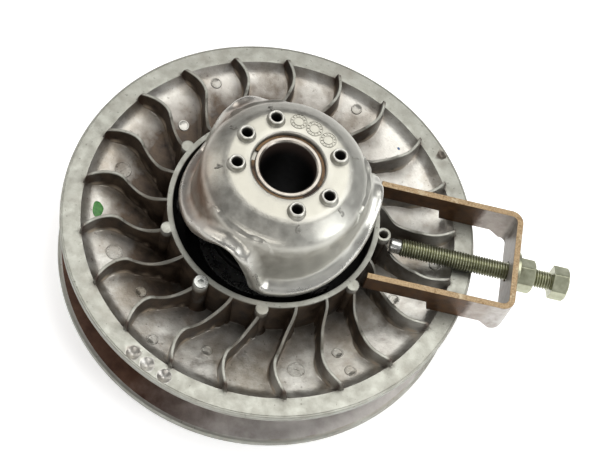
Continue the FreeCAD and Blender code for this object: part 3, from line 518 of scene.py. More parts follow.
def build_sliding_sheave():
    zone = np.concatenate([
        np.array([121.6, 121.2, 120.9, 120.6, 120.3, 120.0, 119.7, 119.4, 119.1, 118.8, 118.4, 118.0, 117.5, 117.0, 116.4, 115.8, 115.0]),
        np.arange(114.2, 96.9, -1.05), np.arange(96.2, 92.9, -0.55), np.arange(92.2, 70.9, -0.9),
        np.array([70.3, 69.9, 69.5, 69.2, 68.95, 68.75, 68.6, 68.45, 68.3, 68.15, 68.0, 67.9, 67.82, 67.76, 67.70, 67.5])])
    loop = []           # (kind, r, z)
    for p in [(22.5, 25.65), (23.0, 25.15), (36.0, 25.15), (49.5, 25.15), (50.6, 25.32)]:
        loop.append(("u", p[0], p[1]))
    for r in np.linspace(54, 131.5, 22):
        loop.append(("u", r, belt_top(r)))
    for p in [(132.5, 45.05), (133.1, 45.25), (133.45, 45.65), (133.5, 46.1), (133.5, 46.9), (133.15, 47.1), (133.12, 47.45),
              (133.5, 47.65), (133.5, 49.0), (133.42, 49.4), (133.2, 49.72), (132.85, 49.9), (132.35, 49.92), (132.2, 49.55), (131.9, 49.55), (131.75, 49.97), (131.0, 50.0), (127.0, 50.0), (123.5, 50.0)]:
        loop.append(("t", p[0], p[1]))
    for r in zone:
        loop.append(("h", r, 0.0))
    for p in [(67.2, 65.7), (66.0, 65.7), (64.75, 65.7), (64.4, 65.58), (64.2, 65.25), (64.2, 60.0), (64.2, 50.0), (64.2, 40.0),
              (64.2, 36.2), (63.9, 34.9), (63.0, 33.9), (61.5, 33.2), (56.0, 31.6), (50.0, 30.05), (40.0, 30.0), (31.0, 30.0),
              (29.0, 30.4), (28.2, 31.4), (28.0, 33.0), (28.0, 47.0), (28.0, 61.3), (27.7, 61.8), (27.2, 62.0), (23.2, 62.0), (22.7, 61.8),
              (22.5, 61.3), (22.5, 45.0)]:
        loop.append(("c", p[0], p[1]))
    rows, brown_darkening, mach, kinds, fillet_highlights, fin_end_shades, cavity_shades = [], [], [], [], [], [], []
    for kind, r, z in loop:
        rr = min(max(r, 67.7), 121.5)
        th, d = sector_columns(rr, 21, fin_turn, OFFS, 7)
        if kind == "h":
            zz = sheave_height(np.full_like(th, r), th, d)
            fl = floor_z(np.array([r]))[0]
            up = zz - fl
            cz = crest_z(np.array([r]))[0]
            crest = np.clip((zz - (cz - 0.75)) / 0.5, 0, 1) * (d < 1.4) * (cz > fl + 1.0)
            ringtop = np.clip((zz - 65.2) / 0.3, 0, 1)
            land = np.full_like(th, np.clip((r - 120.2) / 0.5, 0, 1))
            m = np.maximum(np.maximum(crest * (0.55 + 0.45 * (r > 95)), ringtop), land)
            # painted light and shade in the brown mask: weaker towards azimuth 38 degrees, stronger in deep pockets
            # towards 205 degrees and up the flanks
            cool = 1.0 - 0.62 * np.clip(np.cos(th - math.radians(38.0)), 0, 1) ** 1.2
            left = np.clip(np.cos(th - math.radians(205.0)), 0, 1)
            deep = np.clip((112.0 - r) / 26.0, 0, 1) ** 0.8
            flank = np.clip(up / 2.0, 0, 1) * 0.75
            s = np.clip((0.04 + (0.62 + 0.28 * left) * deep + flank) * cool, 0, 1.3)
            m = m * np.where(crest > 0.5, 0.92, 1.0)
            # painted highlight along the concave root fillet of each fin, where the key light would catch
            fillet_highlight = 1.15 * np.exp(-((zz - fl - 1.3) / 0.85) ** 2) * (d < 4.5) * (cz > fl + 4.0) * (r < 117.0) * (r > 78.0) * 0.85
            cavity_shade = np.zeros_like(th)
            # painted shade in the corner where the fin end meets the land
            corner_shade = np.exp(-((r - 119.6) / 2.2) ** 2) * np.exp(-((d - 0.6) / 2.8) ** 2) * 0.9
        else:
            zz = np.full_like(th, z)
            m = np.full_like(th, 1.0 if kind == "t" or z >= 65.5 else 0.0)
            s = np.full_like(th, 1.3 if kind == "c" else 0.3)
            fillet_highlight = np.zeros_like(th)
            # painted shade down the inner wall of the ring cavity, brown and near black
            cavity_shade = np.full_like(th, np.clip((65.0 - z) / 1.5, 0, 1) if kind == "c" else 0.0)
            corner_shade = np.exp(-((r - 119.6) / 2.2) ** 2) * np.exp(-((d - 0.6) / 2.8) ** 2) * 0.9 * (z == 50.0)
        rows.append(np.stack([r * np.cos(th), r * np.sin(th), zz], -1))
        brown_darkening.append(s)
        mach.append(m)
        fillet_highlights.append(fillet_highlight)
        fin_end_shades.append(corner_shade)
        cavity_shades.append(cavity_shade)
        kinds.append(kind)
    P = np.array(rows)
    V = P.reshape(-1, 3) * MM
    Fq = lattice_faces(P.shape[0], P.shape[1])
    mats = np.repeat(np.array([1 if kd == "u" else 0 for kd in kinds]), P.shape[1])
    if not outward(V, Fq):
        Fq = Fq[:, ::-1]
    ob = make_piece("sliding_sheave_casting", V, Fq, BODY_OF["sliding_sheave"], [M_SHEAVE, M_BELT], mats,
                    sharp=40.0, attrs={"brown_darkening": np.array(brown_darkening).reshape(-1), "machined": np.array(mach).reshape(-1),
                                   "root_shading": np.array(fillet_highlights).reshape(-1), "fin_end_shade": np.array(fin_end_shades).reshape(-1),
                                   "dark": np.array(cavity_shades).reshape(-1)})
    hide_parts("sliding_sheave")
    # drilled balance pits
    pits = [(247.3, .9562, 4.4, 2.6), (252.2, .9555, 4.4, 2.6), (257.9, .9565, 4.4, 2.6), (45.2, .9690, 3.2, 1.9)]
    cutters = []
    for a, q, rad, deep in pits:
        t = math.radians(a)
        prof = [(0.001, TOP - deep), (rad * 0.12, TOP - deep * 0.97), (rad * 0.28, TOP - deep * 0.86), (rad * 0.5, TOP - deep * 0.64),
                (rad * 0.72, TOP - deep * 0.37), (rad * 0.88, TOP - deep * 0.15), (rad, TOP), (rad * 1.12, TOP + deep * 0.2), (0.001, TOP + deep * 0.2)]
        cutters.append(lathe_grid(prof, 40, (q * RIM * math.cos(t), q * RIM * math.sin(t), 0)))
    cv, cf = merge(cutters)
    cme = bpy.data.meshes.new("pit_cutter")
    cme.from_pydata([tuple(v) for v in cv], [], [tuple(f) for f in cf])
    cme.materials.append(M_SHEAVE)
    for key, val in (("brown_darkening", 0.12), ("machined", 0.35), ("root_shading", 0.0), ("fin_end_shade", 0.0), ("dark", 0.0)):
        at = cme.attributes.new(key, "FLOAT", "POINT")
        at.data.foreach_set("value", np.full(len(cme.vertices), val, np.float32))
    cme.polygons.foreach_set("use_smooth", np.ones(len(cme.polygons), bool))
    cob = bpy.data.objects.new("pit_cutter", cme)
    bpy.context.scene.collection.objects.link(cob)
    mod = ob.modifiers.new("pits", "BOOLEAN")
    mod.operation, mod.solver, mod.object = "DIFFERENCE", "EXACT", cob
    mod.material_mode = "TRANSFER"
    return ob, mod, cob


def apply_modifiers(ob):
    bpy.context.view_layer.update()
    deps = bpy.context.evaluated_depsgraph_get()
    new = bpy.data.meshes.new_from_object(ob.evaluated_get(deps), preserve_all_data_layers=True, depsgraph=deps)
    old = ob.data
    ob.modifiers.clear()
    ob.data = new
    new.name = old.name
    bpy.data.meshes.remove(old)


sheave, pit_mod, pit_cutter = build_sliding_sheave()
apply_modifiers(sheave)
bpy.data.objects.remove(pit_cutter)
for poly in sheave.data.polygons:
    poly.use_smooth = True
sheave.data.set_sharp_from_angle(angle=math.radians(40.0))

SLIDE = BODY_OF["sliding_sheave"]


def set_attrs(ob, **vals):
    for k, v in vals.items():
        a = ob.data.attributes.get(k) or ob.data.attributes.new(k, "FLOAT", "POINT")
        a.data.foreach_set("value", np.full(len(ob.data.vertices), v, np.float32))


# ring bosses (tapped) and round pads, each a turned stub sunk in the casting
def boss_profile(rad, hole, low, high, depth):
    e = 0.45
    out = [(rad + 2.6, low - 0.5), (rad + 1.5, low + 0.6), (rad + 0.75, low + 2.0), (rad + 0.35, low + 4.5), (rad, high - 6), (rad, high - e)]
    out += arc(rad - e, high - e, e, 0, 90, 3)[1:]
    if hole:
        out += [(hole + 0.5, high), (hole, high - 0.5), (hole, high - depth), (0.001, high - depth - 1.0), (0.001, low - 0.5)]
    else:
        out += [(rad * 0.5, high), (0.001, high), (0.001, low - 0.5)]
    return out


boss_parts, pad_parts = [], []
for az in BOSS_AZ:
    t = math.radians(az)
    boss_parts.append(lathe_grid(boss_profile(4.8, 2.7, 35.0, 65.68, 12.0), 48, (70.8 * math.cos(t), 70.8 * math.sin(t), 0)))
for az in PAD_AZ:
    t = math.radians(az)
    pad_parts.append(lathe_grid(boss_profile(4.1, 0, 35.0, 65.69, 0.0), 40, (69.4 * math.cos(t), 69.4 * math.sin(t), 0)))
bv, bf = merge(boss_parts + pad_parts)
ob = make_piece("ring_bosses", bv, bf, SLIDE, M_SHEAVE, sharp=40.0,
                attrs={"machined": np.clip((bv[:, 2] / MM - 65.0) / 0.4, 0, 1), "brown_darkening": np.clip((66.0 - bv[:, 2] / MM) / 6.0, 0.3, 1.1)})

# roller lugs inside the ring
ROLL_AZ = (317.0, 77.0, 197.0)


def rounded_block(x0, x1, y0, y1, z0, z1, rad, az, seg=3):
    bm = bmesh.new()
    bmesh.ops.create_cube(bm, size=1.0)
    for v in bm.verts:
        v.co = Vector(((x0 + x1) / 2 + v.co.x * (x1 - x0), (y0 + y1) / 2 + v.co.y * (y1 - y0), (z0 + z1) / 2 + v.co.z * (z1 - z0)))
    bmesh.ops.bevel(bm, geom=list(bm.edges), offset=rad, segments=seg, profile=0.5, affect="EDGES")
    bmesh.ops.rotate(bm, verts=bm.verts, cent=(0, 0, 0), matrix=Matrix.Rotation(math.radians(az), 3, "Z"))
    bm.verts.ensure_lookup_table()
    V = [v.co * MM for v in bm.verts]
    Fq = [[v.index for v in f.verts] for f in bm.faces]
    bm.free()
    return V, Fq


# painted shade: the lugs sit in the ring cavity and are painted dark brown and near black
for i, az in enumerate(ROLL_AZ):
    v, f = rounded_block(47.4, 53.0, -5.5, 5.5, 29.0, 64.2, 1.4, az)
    ob = make_piece("roller_lug_%d" % (i + 1), v, f, SLIDE, M_SHEAVE, sharp=30.0,
                    attrs={"machined": np.zeros(len(v)), "brown_darkening": np.full(len(v), 1.3), "dark": np.full(len(v), 0.9)})


# ------------------------------------------------------------------ casting marks and paint on the sheave
def drape(az, q, dx, dy, lift):
    """A point dx outward, dy tangential from (azimuth, radius) on the pocket floor."""
    t = math.radians(az)
    r = q * RIM + dx
    x, y = r * math.cos(t) - dy * math.sin(t), r * math.sin(t) + dy * math.cos(t)
    rr = math.hypot(x, y)
    return np.array([x, y, floor_z(np.array([rr]))[0] + lift])


def floor_ring(az, q, rad, wall, high, cols=36, dish=0.0):
    """Low round pin mark on the pocket floor: a raised rim round a shallow dish."""
    prof = [(0.02, dish), (rad - wall * 1.6, dish), (rad - wall, high), (rad, high), (rad + wall * 0.8, 0.0), (rad + wall, -0.5), (0.02, -0.5)]
    P = []
    for pr, pz in prof:
        P.append([drape(az, q, pr * math.cos(a), pr * math.sin(a), pz) for a in np.arange(cols) * 2 * math.pi / cols])
    P = np.array(P)
    V = P.reshape(-1, 3) * MM
    Fq = lattice_faces(P.shape[0], P.shape[1])
    return (V, Fq) if outward(V, Fq) else (V, Fq[:, ::-1])


marks = [floor_ring(a, q, 3.4, 0.5, 0.55, dish=0.25) for a, q in
         ((146.8, .6851), (127.6, .8256), (75.7, .824), (7.2, .8241), (315.4, .7127), (315.7, .8238), (264.8, .7217),
          (247.8, .8325), (231.0, .7139), (349.0, .6917))]
mv, mf = merge(marks)
make_piece("pin_marks", mv, mf, SLIDE, M_SHEAVE, sharp=40.0,
           attrs={"machined": np.full(len(mv), 0.15), "brown_darkening": np.full(len(mv), 0.15)})


def small_bar(az, q, dx0, dy0, dx1, dy1, wide, high, base=-0.3):
    a = np.array([dx0, dy0])
    b = np.array([dx1, dy1])
    t = (b - a) / np.linalg.norm(b - a)
    n = np.array([-t[1], t[0]]) * wide / 2
    low = [drape(az, q, *(p), base) for p in (a - n, b - n, b + n, a + n)]
    top = [drape(az, q, *(p), high) for p in (a - n * 0.6, b - n * 0.6, b + n * 0.6, a + n * 0.6)]
    V = np.array(low + top) * MM
    Fq = np.array([[0, 3, 2, 1], [4, 5, 6, 7], [0, 1, 5, 4], [1, 2, 6, 5], [2, 3, 7, 6], [3, 0, 4, 7]])
    return V, Fq


dials = []
for a, q in ((178.85, .7560), (213.1, .7600), (298.1, .7450)):
    dials.append(floor_ring(a, q, 5.2, 0.35, 0.35, dish=0.1))
    for k in range(12):
        t = k * math.pi / 6
        dials.append(small_bar(a, q, 3.4 * math.cos(t), 3.4 * math.sin(t), 4.4 * math.cos(t), 4.4 * math.sin(t), 0.5, 0.4))
    dials.append(small_bar(a, q, -1.0, -1.6, 1.0, 2.2, 0.6, 0.45))
dv, df = merge(dials)
make_piece("date_dials", dv, df, SLIDE, M_SHEAVE, sharp=30.0,
           attrs={"machined": np.full(len(dv), 0.1), "brown_darkening": np.full(len(dv), 0.45)})


def paint_dab(name, az, q, shape, mat, lift=0.22, n=44, rings=7):
    """A thin skin of paint draped over the pocket floor."""
    pts, edge = [], []
    for k in range(rings + 1):
        f = k / rings
        for j in range(n):
            a = 2 * math.pi * j / n
            ex, ey = shape(a)
            pts.append(drape(az, q, ex * f, ey * f, lift * (1 - f ** 6) + 0.02 - (0.12 if k == rings else 0)))
    V = [np.array(p) * MM for p in pts]
    F = []
    for k in range(rings):
        for j in range(n):
            F.append((k * n + j, (k + 1) * n + j, (k + 1) * n + (j + 1) % n, k * n + (j + 1) % n))
    base = len(V)
    for j in range(n):
        p = np.array(V[rings * n + j])
        p[2] -= 0.0003
        V.append(p)
    for j in range(n):
        F.append((rings * n + j, base + j, base + (j + 1) % n, rings * n + (j + 1) % n))
    F.append(tuple(range(base, base + n))[::-1])
    # the innermost ring closes on the centre
    c = drape(az, q, 0, 0, lift + 0.02) * MM
    for j in range(n):
        V[j] = c + (V[j] - c) * 0.02
    F.append(tuple(range(n)))
    return make_piece(name, V, F, SLIDE, mat, sharp=50.0)


def green_shape(a):
    w = 5.9 * (1 + 0.05 * math.sin(3 * a + 1) + 0.03 * math.sin(5 * a))
    out = 2.0 if math.cos(a) > 0 else 5.2
    return (out * math.cos(a) * (1 + 0.05 * math.sin(4 * a)), w * math.sin(a))


paint_dab("green_paint_dab", 197.0, .833, green_shape, M_GREEN)
paint_dab("blue_paint_dot", 54.8, .8138, lambda a: (0.9 * math.cos(a), 1.3 * math.sin(a)), M_BLUE, 0.15, 20, 3)


# ------------------------------------------------------------------ fixed sheave
def build_fixed_sheave():
    half = 2.0

    def turn(r):
        return np.zeros_like(np.asarray(r, float))

    def under(r, d):
        skin = 24.85 - 0.2406 * (r - 50.0) - 4.6 if r > 50 else 20.25
        hub = 20.25 - max(0.0, (40.5 - r)) * 4.5
        skin = min(skin, hub)
        rimside = max(0.0, (r - 120.0)) * 0.85
        skin = max(0.0, skin - rimside) if r > 120 else skin
        rib = 1.5 + np.clip(np.abs(d) - half, 0, None) * 15.0
        if r > 122:
            rib = np.full_like(d, 99.0)
        return np.maximum(0.0, smin(np.full_like(d, skin), rib, 2.0))

    offs = [0, 1.0, 1.7, 2.0, 2.2, 2.4, 2.7, 3.0, 3.4, 4.0, 5.0, 7.0]
    loop = [("b", 20.5, 12.0), ("b", 20.5, 0.5), ("b", 21.0, 0.0), ("b", 26.0, 0.0), ("b", 32.4, 0.0), ("b", 32.9, 0.15), ("b", 33.2, 0.6)]
    for r in np.concatenate([np.linspace(33.6, 42, 12), np.linspace(44, 119, 34), np.linspace(120, 124.5, 12)]):
        loop.append(("h", r, 0))
    for p in [(125.2, 0.0), (129.0, 0.0), (132.7, 0.0), (133.2, 0.15), (133.5, 0.6), (133.5, 2.2), (133.5, 4.2), (133.35, 4.65), (133.0, 4.92), (132.5, 5.0)]:
        loop.append(("r", p[0], p[1]))
    for r in np.linspace(131.0, 54.0, 24):
        loop.append(("u", r, 24.85 - 0.2406 * (r - 50.0)))
    for p in [(50.4, 24.75), (49.5, 24.85), (36.0, 24.85), (21.0, 24.85), (20.5, 24.4)]:
        loop.append(("u", p[0], p[1]))
    rows, kinds = [], []
    for kind, r, z in loop:
        rr = max(r, 33.6)
        th, d = sector_columns(rr, 12, turn, offs, 10)
        zz = under(r, d) if kind == "h" else np.full_like(th, z)
        rows.append(np.stack([r * np.cos(th), r * np.sin(th), zz], -1))
        kinds.append(kind)
    P = np.array(rows)
    V = P.reshape(-1, 3) * MM
    Fq = lattice_faces(P.shape[0], P.shape[1])
    mats = np.repeat(np.array([1 if kd == "u" else 0 for kd in kinds]), P.shape[1])
    if not outward(V, Fq):
        Fq = Fq[:, ::-1]
    kk = np.repeat(np.array([1.0 if kd in ("b", "r") else 0.0 for kd in kinds]), P.shape[1])
    st = np.repeat(np.array([0.15 if kd in ("b", "r") else 0.45 for kd in kinds]), P.shape[1])
    ob = make_piece("fixed_sheave_casting", V, Fq, BODY_OF["fixed_sheave"], [M_SHEAVE, M_BELT], mats,
                    sharp=40.0, attrs={"brown_darkening": st, "machined": kk})
    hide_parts("fixed_sheave")


build_fixed_sheave()

# ------------------------------------------------------------------ cam
WAVE = [(0, .150), (8, .119), (18, .115), (30, .120), (44, .142), (59, .188), (73, .240), (80, .283), (89, .343),
        (95, .386), (99.5, .400), (103, .396), (106, .376), (109, .346), (114.5, .266), (117.5, .202), (120, .150)]


def wave(deg):
    phi = (np.asarray(deg) - 273.0) % 120.0
    xs = np.array([w[0] for w in WAVE], float)
    ys = np.array([w[1] for w in WAVE], float)
    sl = np.diff(ys) / np.diff(xs)
    m = np.zeros(len(xs))
    for i in range(1, len(xs) - 1):
        m[i] = 0 if sl[i - 1] * sl[i] <= 0 else 2 * sl[i - 1] * sl[i] / (sl[i - 1] + sl[i])
    i = np.clip(np.searchsorted(xs, phi, side="right") - 1, 0, len(xs) - 2)
    w = xs[i + 1] - xs[i]
    u = (phi - xs[i]) / w
    y = ((2 * u ** 3 - 3 * u ** 2 + 1) * ys[i] + (u ** 3 - 2 * u ** 2 + u) * w * m[i]
         + (-2 * u ** 3 + 3 * u ** 2) * ys[i + 1] + (u ** 3 - u ** 2) * w * m[i + 1])
    return TOP + RIM * y


CAM_COLS = 720
CAM_TH = np.arange(CAM_COLS) * 360.0 / CAM_COLS


FINE = 10
FINE_TH = np.arange(CAM_COLS * FINE) * 360.0 / (CAM_COLS * FINE)
FINE_E = wave(FINE_TH)


def smoothed(y, sigma_deg):
    """Periodic smoothing of a fine curve, returned at the lattice's columns."""
    n = int(sigma_deg * 3 * CAM_COLS * FINE / 360.0)
    k = np.exp(-0.5 * (np.arange(-n, n + 1) / max(1.0, sigma_deg * CAM_COLS * FINE / 360.0)) ** 2)
    k /= k.sum()
    pad = np.concatenate([y[-n:], y, y[:n]])
    return np.convolve(pad, k, "valid")[::FINE]


def offset_edge(h, r=58.0):
    """Upper parallel curve of the ramp edge at distance h, unrolled at radius r."""
    if h <= 0:
        return smoothed(FINE_E, 0.5)
    step = math.radians(360.0 / (CAM_COLS * FINE)) * r
    n = int(h / step)
    best = FINE_E + h
    stride = max(1, n // 90)
    for k in list(range(-n, n + 1, stride)):
        dx = k * step
        best = np.maximum(best, np.roll(FINE_E, -k) + math.sqrt(max(0.0, h * h - dx * dx)))
    return smoothed(best, 0.7)


def lip_edge(h):
    """Parallel curve whose distance shrinks where the ramp runs up to the shoulder."""
    p = np.clip((smoothed(FINE_E, 1.5) - 86.0) / 14.0, 0, 1)
    p = p * p * (3 - 2 * p)
    return (1 - p) * offset_edge(h) + p * offset_edge(h * 0.62)


def soft_below(z, cap, k=3.2):
    """z kept below cap, bending over smoothly as it nears it."""
    return cap - k * np.log1p(np.exp(np.clip((cap - z) / k, -30, 30)))


def build_cam():
    rows, wear_and_highlight, painted_shade = [], [], []
    ca, sa = np.cos(np.radians(CAM_TH)), np.sin(np.radians(CAM_TH))

    def row(r, z, w=0.0, shade=0.0):
        r = np.broadcast_to(r, (CAM_COLS,)).astype(float)
        rows.append(np.stack([r * ca, r * sa, np.broadcast_to(z, (CAM_COLS,)).astype(float)], -1))
        wear_and_highlight.append(np.full(CAM_COLS, w))
        painted_shade.append(np.full(CAM_COLS, shade))

    e = offset_edge(0)
    for r, z, w in [(20.55, 118.0, 0), (22.7, 118.0, 0), (22.7, 121.1, 0), (22.85, 121.6, .2), (23.3, 122.15, .5), (23.9, 122.38, .3),
                    (28.0, 122.4, 0), (33.0, 122.4, 0), (35.0, 122.38, 0), (36.0, 122.3, 0), (36.8, 122.12, 0), (37.5, 121.9, 0),
                    (38.4, 121.62, 0), (39.6, 121.15, 0)]:
        row(r, z, w)
    cone_r = np.array([39.6, 42.0, 45.0, 47.0, 48.4, 49.6, 50.5, 51.2, 51.8, 52.3, 52.7, 53.0, 53.2, 53.2])
    cone_z = np.array([121.15, 119.7, 117.7, 116.3, 115.1, 113.7, 112.2, 110.4, 108.0, 104.5, 100.0, 93.0, 84.0, 50.0])

    def wall(z):
        return np.interp(-z, -cone_z, cone_r)

    hs = np.array([7.0, 7.4, 8.0, 8.8, 9.8, 11.0, 12.4, 14.0, 16.0, 18.5, 21.5])
    rs = np.array([59.6, 58.6, 57.3, 56.0, 54.9, 54.0, 53.4, 53.0, 52.6, 52.0, 51.0])
    cap = 114.6
    edge_rows = [soft_below(lip_edge(h), cap, 2.2) for h in hs]
    start = np.full(CAM_COLS, 120.6)
    last = edge_rows[-1]
    n = 26
    for k in range(n):
        u = k / n
        z = start + (last - start) * u
        row(wall(z), z)
    for k in range(len(hs) - 1, -1, -1):
        z = edge_rows[k]
        row(smax(wall(z), np.full(CAM_COLS, rs[k]), 2.0), z, max(0.0, (rs[k] - 54.5) / 5.0))
    for r, h, w in [(60.3, 6.35, 1.0), (60.9, 5.5, .9), (61.25, 4.6, .6), (61.38, 3.7, .3), (61.3, 3.1, 0), (60.9, 2.75, 0), (60.82, 1.8, 0), (60.8, .45, .2)]:
        row(r, soft_below(lip_edge(h), cap, 2.2), w)
    row(60.5, e, .3)
    for r in (57.0, 53.0, 49.5):
        row(r, e, .4)
    # painted shade on the rows under the bell and in its bore
    row(48.2, e + 0.05, .2, .4)
    row(47.5, offset_edge(0.6), 0, .8)
    row(47.05, offset_edge(1.4), 0, 1)
    row(47.0, np.minimum(offset_edge(3.0), 108.5), 0, 1)
    for r, z in [(46.9, 110.6), (46.2, 111.5), (44.6, 112.0), (40.0, 112.0), (33.0, 112.0), (27.0, 112.0), (26.2, 111.6), (26.0, 110.8),
                 (26.0, 100.0), (26.0, 92.6), (25.4, 92.0), (21.0, 92.0), (20.55, 92.5), (20.55, 105.0)]:
        row(r, z, 0, 1)
    P = np.array(rows)
    V = P.reshape(-1, 3) * MM
    Fq = lattice_faces(P.shape[0], P.shape[1])
    if not outward(V, Fq):
        Fq = Fq[:, ::-1]
    ob = make_piece("cam_casting", V, Fq, BODY_OF["cam"], M_CAM, sharp=50.0,
                    attrs={"wear_and_highlight": np.array(wear_and_highlight).reshape(-1), "painted_shade": np.array(painted_shade).reshape(-1)})
    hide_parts("cam")
    return ob


cam_ob = build_cam()
CAM_HOLES = (31.9, 122.8, 162.6, 202.3, 296.1, 336.9)
cut_parts = []
for az in CAM_HOLES:
    t = math.radians(az)
    cut_parts.append(lathe_grid([(0.001, 106.0), (3.3, 106.0), (3.3, 124.5), (0.001, 124.5)], 40, (31.6 * math.cos(t), 31.6 * math.sin(t), 0)))
cv, cf = merge(cut_parts)
cme = bpy.data.meshes.new("hole_cutter")
cme.from_pydata([tuple(v) for v in cv], [], [tuple(f) for f in cf])
cob = bpy.data.objects.new("hole_cutter", cme)
bpy.context.scene.collection.objects.link(cob)
mod = cam_ob.modifiers.new("holes", "BOOLEAN")
mod.operation, mod.solver, mod.object = "DIFFERENCE", "EXACT", cob
apply_modifiers(cam_ob)
bpy.data.objects.remove(cob)
for poly in cam_ob.data.polygons:
    poly.use_smooth = True
cam_ob.data.set_sharp_from_angle(angle=math.radians(50.0))

boss_list = []
for az in CAM_HOLES:
    t = math.radians(az)
    prof = [(6.4, 121.2), (6.1, 122.1), (5.75, 122.5), (5.4, 122.9), (5.15, 123.5), (5.03, 124.3), (5.0, 125.3)] + arc(4.05, 125.45, 0.95, 12, 90, 5)
    prof += [(3.75, 126.3), (3.45, 126.05), (3.28, 125.6), (3.25, 124.9), (3.25, 123.0), (3.25, 112.4), (4.2, 112.3), (5.4, 120.6)]
    boss_list.append(lathe_grid(prof, 48, (31.6 * math.cos(t), 31.6 * math.sin(t), 0)))
bv, bf = merge(boss_list)
# painted shade in the boss holes and a darker ring round each boss base
boss_shade = np.zeros(len(bv))
for az in CAM_HOLES:
    t = math.radians(az)
    d = np.hypot(bv[:, 0] / MM - 31.6 * math.cos(t), bv[:, 1] / MM - 31.6 * math.sin(t))
    boss_shade = np.maximum(boss_shade, (d < 3.6) * np.clip((125.7 - bv[:, 2] / MM) / 0.8, 0, 1))
    boss_shade = np.maximum(boss_shade, (d > 5.3) * (d < 7.0) * 0.35)
make_piece("cam_bosses", bv, bf, BODY_OF["cam"], M_CAM, sharp=40.0,
           attrs={"wear_and_highlight": np.clip((bv[:, 2] / MM - 125.4) / 0.6, 0, 1), "painted_shade": boss_shade})


# raised position numbers beside the bosses, and three dials on the cam's cone
def cone_point(az, r, dx, dy, lift):
    """Point on the cam's top: dx tangential, dy outward."""
    t = math.radians(az)
    x = (r + dy) * math.cos(t) - dx * math.sin(t)
    y = (r + dy) * math.sin(t) + dx * math.cos(t)
    rr = math.hypot(x, y)
    z = np.interp(rr, [24, 36.3, 37.1, 39.6, 42.0, 45.0, 47.6, 48.8], [122.4, 122.3, 121.85, 121.2, 119.7, 117.7, 115.9, 114.9])
    return Vector((x, y, z + lift))


def number_piece(text, az, r, size, spin=0.0):
    cu = bpy.data.curves.new("num_%s" % text, "FONT")
    cu.body = text
    cu.size = size
    cu.align_x, cu.align_y = "CENTER", "CENTER"
    cu.extrude = 0.45
    cu.bevel_depth = 0.12
    cu.resolution_u = 4
    tmp = bpy.data.objects.new("tmp_num", cu)
    bpy.context.scene.collection.objects.link(tmp)
    bpy.context.view_layer.update()
    me = bpy.data.meshes.new_from_object(tmp.evaluated_get(bpy.context.evaluated_depsgraph_get()))
    bpy.data.objects.remove(tmp)
    s = math.radians(spin)
    V = []
    for v in me.vertices:
        dx, dy = v.co.x * math.cos(s) - v.co.y * math.sin(s), v.co.x * math.sin(s) + v.co.y * math.cos(s)
        V.append(cone_point(az, r, -dx, dy, v.co.z + 0.05) * MM)
    F = [tuple(p.vertices) for p in me.polygons]
    bpy.data.meshes.remove(me)
    return V, F


num_v, num_f = [], []
for text, az, r, spin in (("1", 31.9, 42.6, 180), ("2", 122.8, 41.5, 180), ("3", 162.6, 42.0, 180), ("4", 202.3, 42.4, 180), ("5", 336.9, 42.6, 180), ("6", 296.1, 42.2, 180)):
    v, f = number_piece(text, az, r, 6.4, spin)
    n = len(num_v)
    num_v += v
    num_f += [tuple(i + n for i in q) for q in f]
# the numbers carry part of the painted shade
make_piece("cam_numbers", num_v, num_f, BODY_OF["cam"], M_CAM, sharp=30.0,
           attrs={"wear_and_highlight": np.full(len(num_v), 0.0), "painted_shade": np.full(len(num_v), 0.45)})

dial = []
for az, r in ((97.0, 31.6), (77.6, 31.0), (57.2, 31.0)):
    for rad in (5.0, 3.0):
        P = []
        for pr, pz in ((rad - 0.45, -0.3), (rad - 0.2, 0.5), (rad + 0.2, 0.5), (rad + 0.45, -0.3)):
            P.append([tuple(cone_point(az, r, pr * math.cos(a), pr * math.sin(a), pz)) for a in np.arange(40) * 2 * math.pi / 40])
        P = np.array(P)
        V = P.reshape(-1, 3) * MM
        Fq = lattice_faces(4, 40)
        dial.append((V, Fq if outward(V, Fq) else Fq[:, ::-1]))
    for k in range(12):
        a = k * math.pi / 6
        c, s = math.cos(a), math.sin(a)
        quad = []
        for lift, shrink in ((-0.3, 1.0), (0.55, 0.6)):
            for u, w in ((3.5, -0.36), (4.6, -0.36), (4.6, 0.36), (3.5, 0.36)):
                quad.append(tuple(cone_point(az, r, u * c - w * shrink * s, u * s + w * shrink * c, lift)))
        V = np.array(quad) * MM
        dial.append((V, np.array([[0, 3, 2, 1], [4, 5, 6, 7], [0, 1, 5, 4], [1, 2, 6, 5], [2, 3, 7, 6], [3, 0, 4, 7]])))
dv, df = merge(dial)
# painted shade low in the dials
make_piece("cam_dials", dv, df, BODY_OF["cam"], M_CAM, sharp=30.0,
           attrs={"wear_and_highlight": np.zeros(len(dv)), "painted_shade": np.clip((0.12285 - dv[:, 2]) / 0.0004, 0.05, 0.7)})

# ------------------------------------------------------------------ spring
turns, rs, wire = 6.0, 37.0, 2.3
z0, z1 = 32.1 + wire + 0.15, 110.2 - wire - 0.15
steps, sides = 360, 16
P = []
for i in range(steps + 1):
    u = i / steps
    a = 2 * math.pi * turns * u
    # the coil rises evenly from end to end
    z = z0 + (z1 - z0) * u
    c = np.array([rs * math.cos(a), rs * math.sin(a), z])
    o = np.array([math.cos(a), math.sin(a), 0])
    P.append([c + o * wire * math.cos(b) + np.array([0, 0, 1]) * wire * math.sin(b) for b in np.arange(sides) * 2 * math.pi / sides])
for end in (0, -1):
    ring = np.array(P[end])
    cap_ring = ring.mean(0) + (ring - ring.mean(0)) * 0.02
    if end == 0:
        P.insert(0, list(cap_ring))
    else:
        P.append(list(cap_ring))
P = np.array(P)
V = P.reshape(-1, 3) * MM
Fq = lattice_faces(P.shape[0], P.shape[1], wrap_rows=False)
faces = [tuple(q) for q in Fq]
faces.append(tuple(range(sides)))
faces.append(tuple(range((P.shape[0] - 1) * sides, P.shape[0] * sides))[::-1])
bmx = bmesh.new()
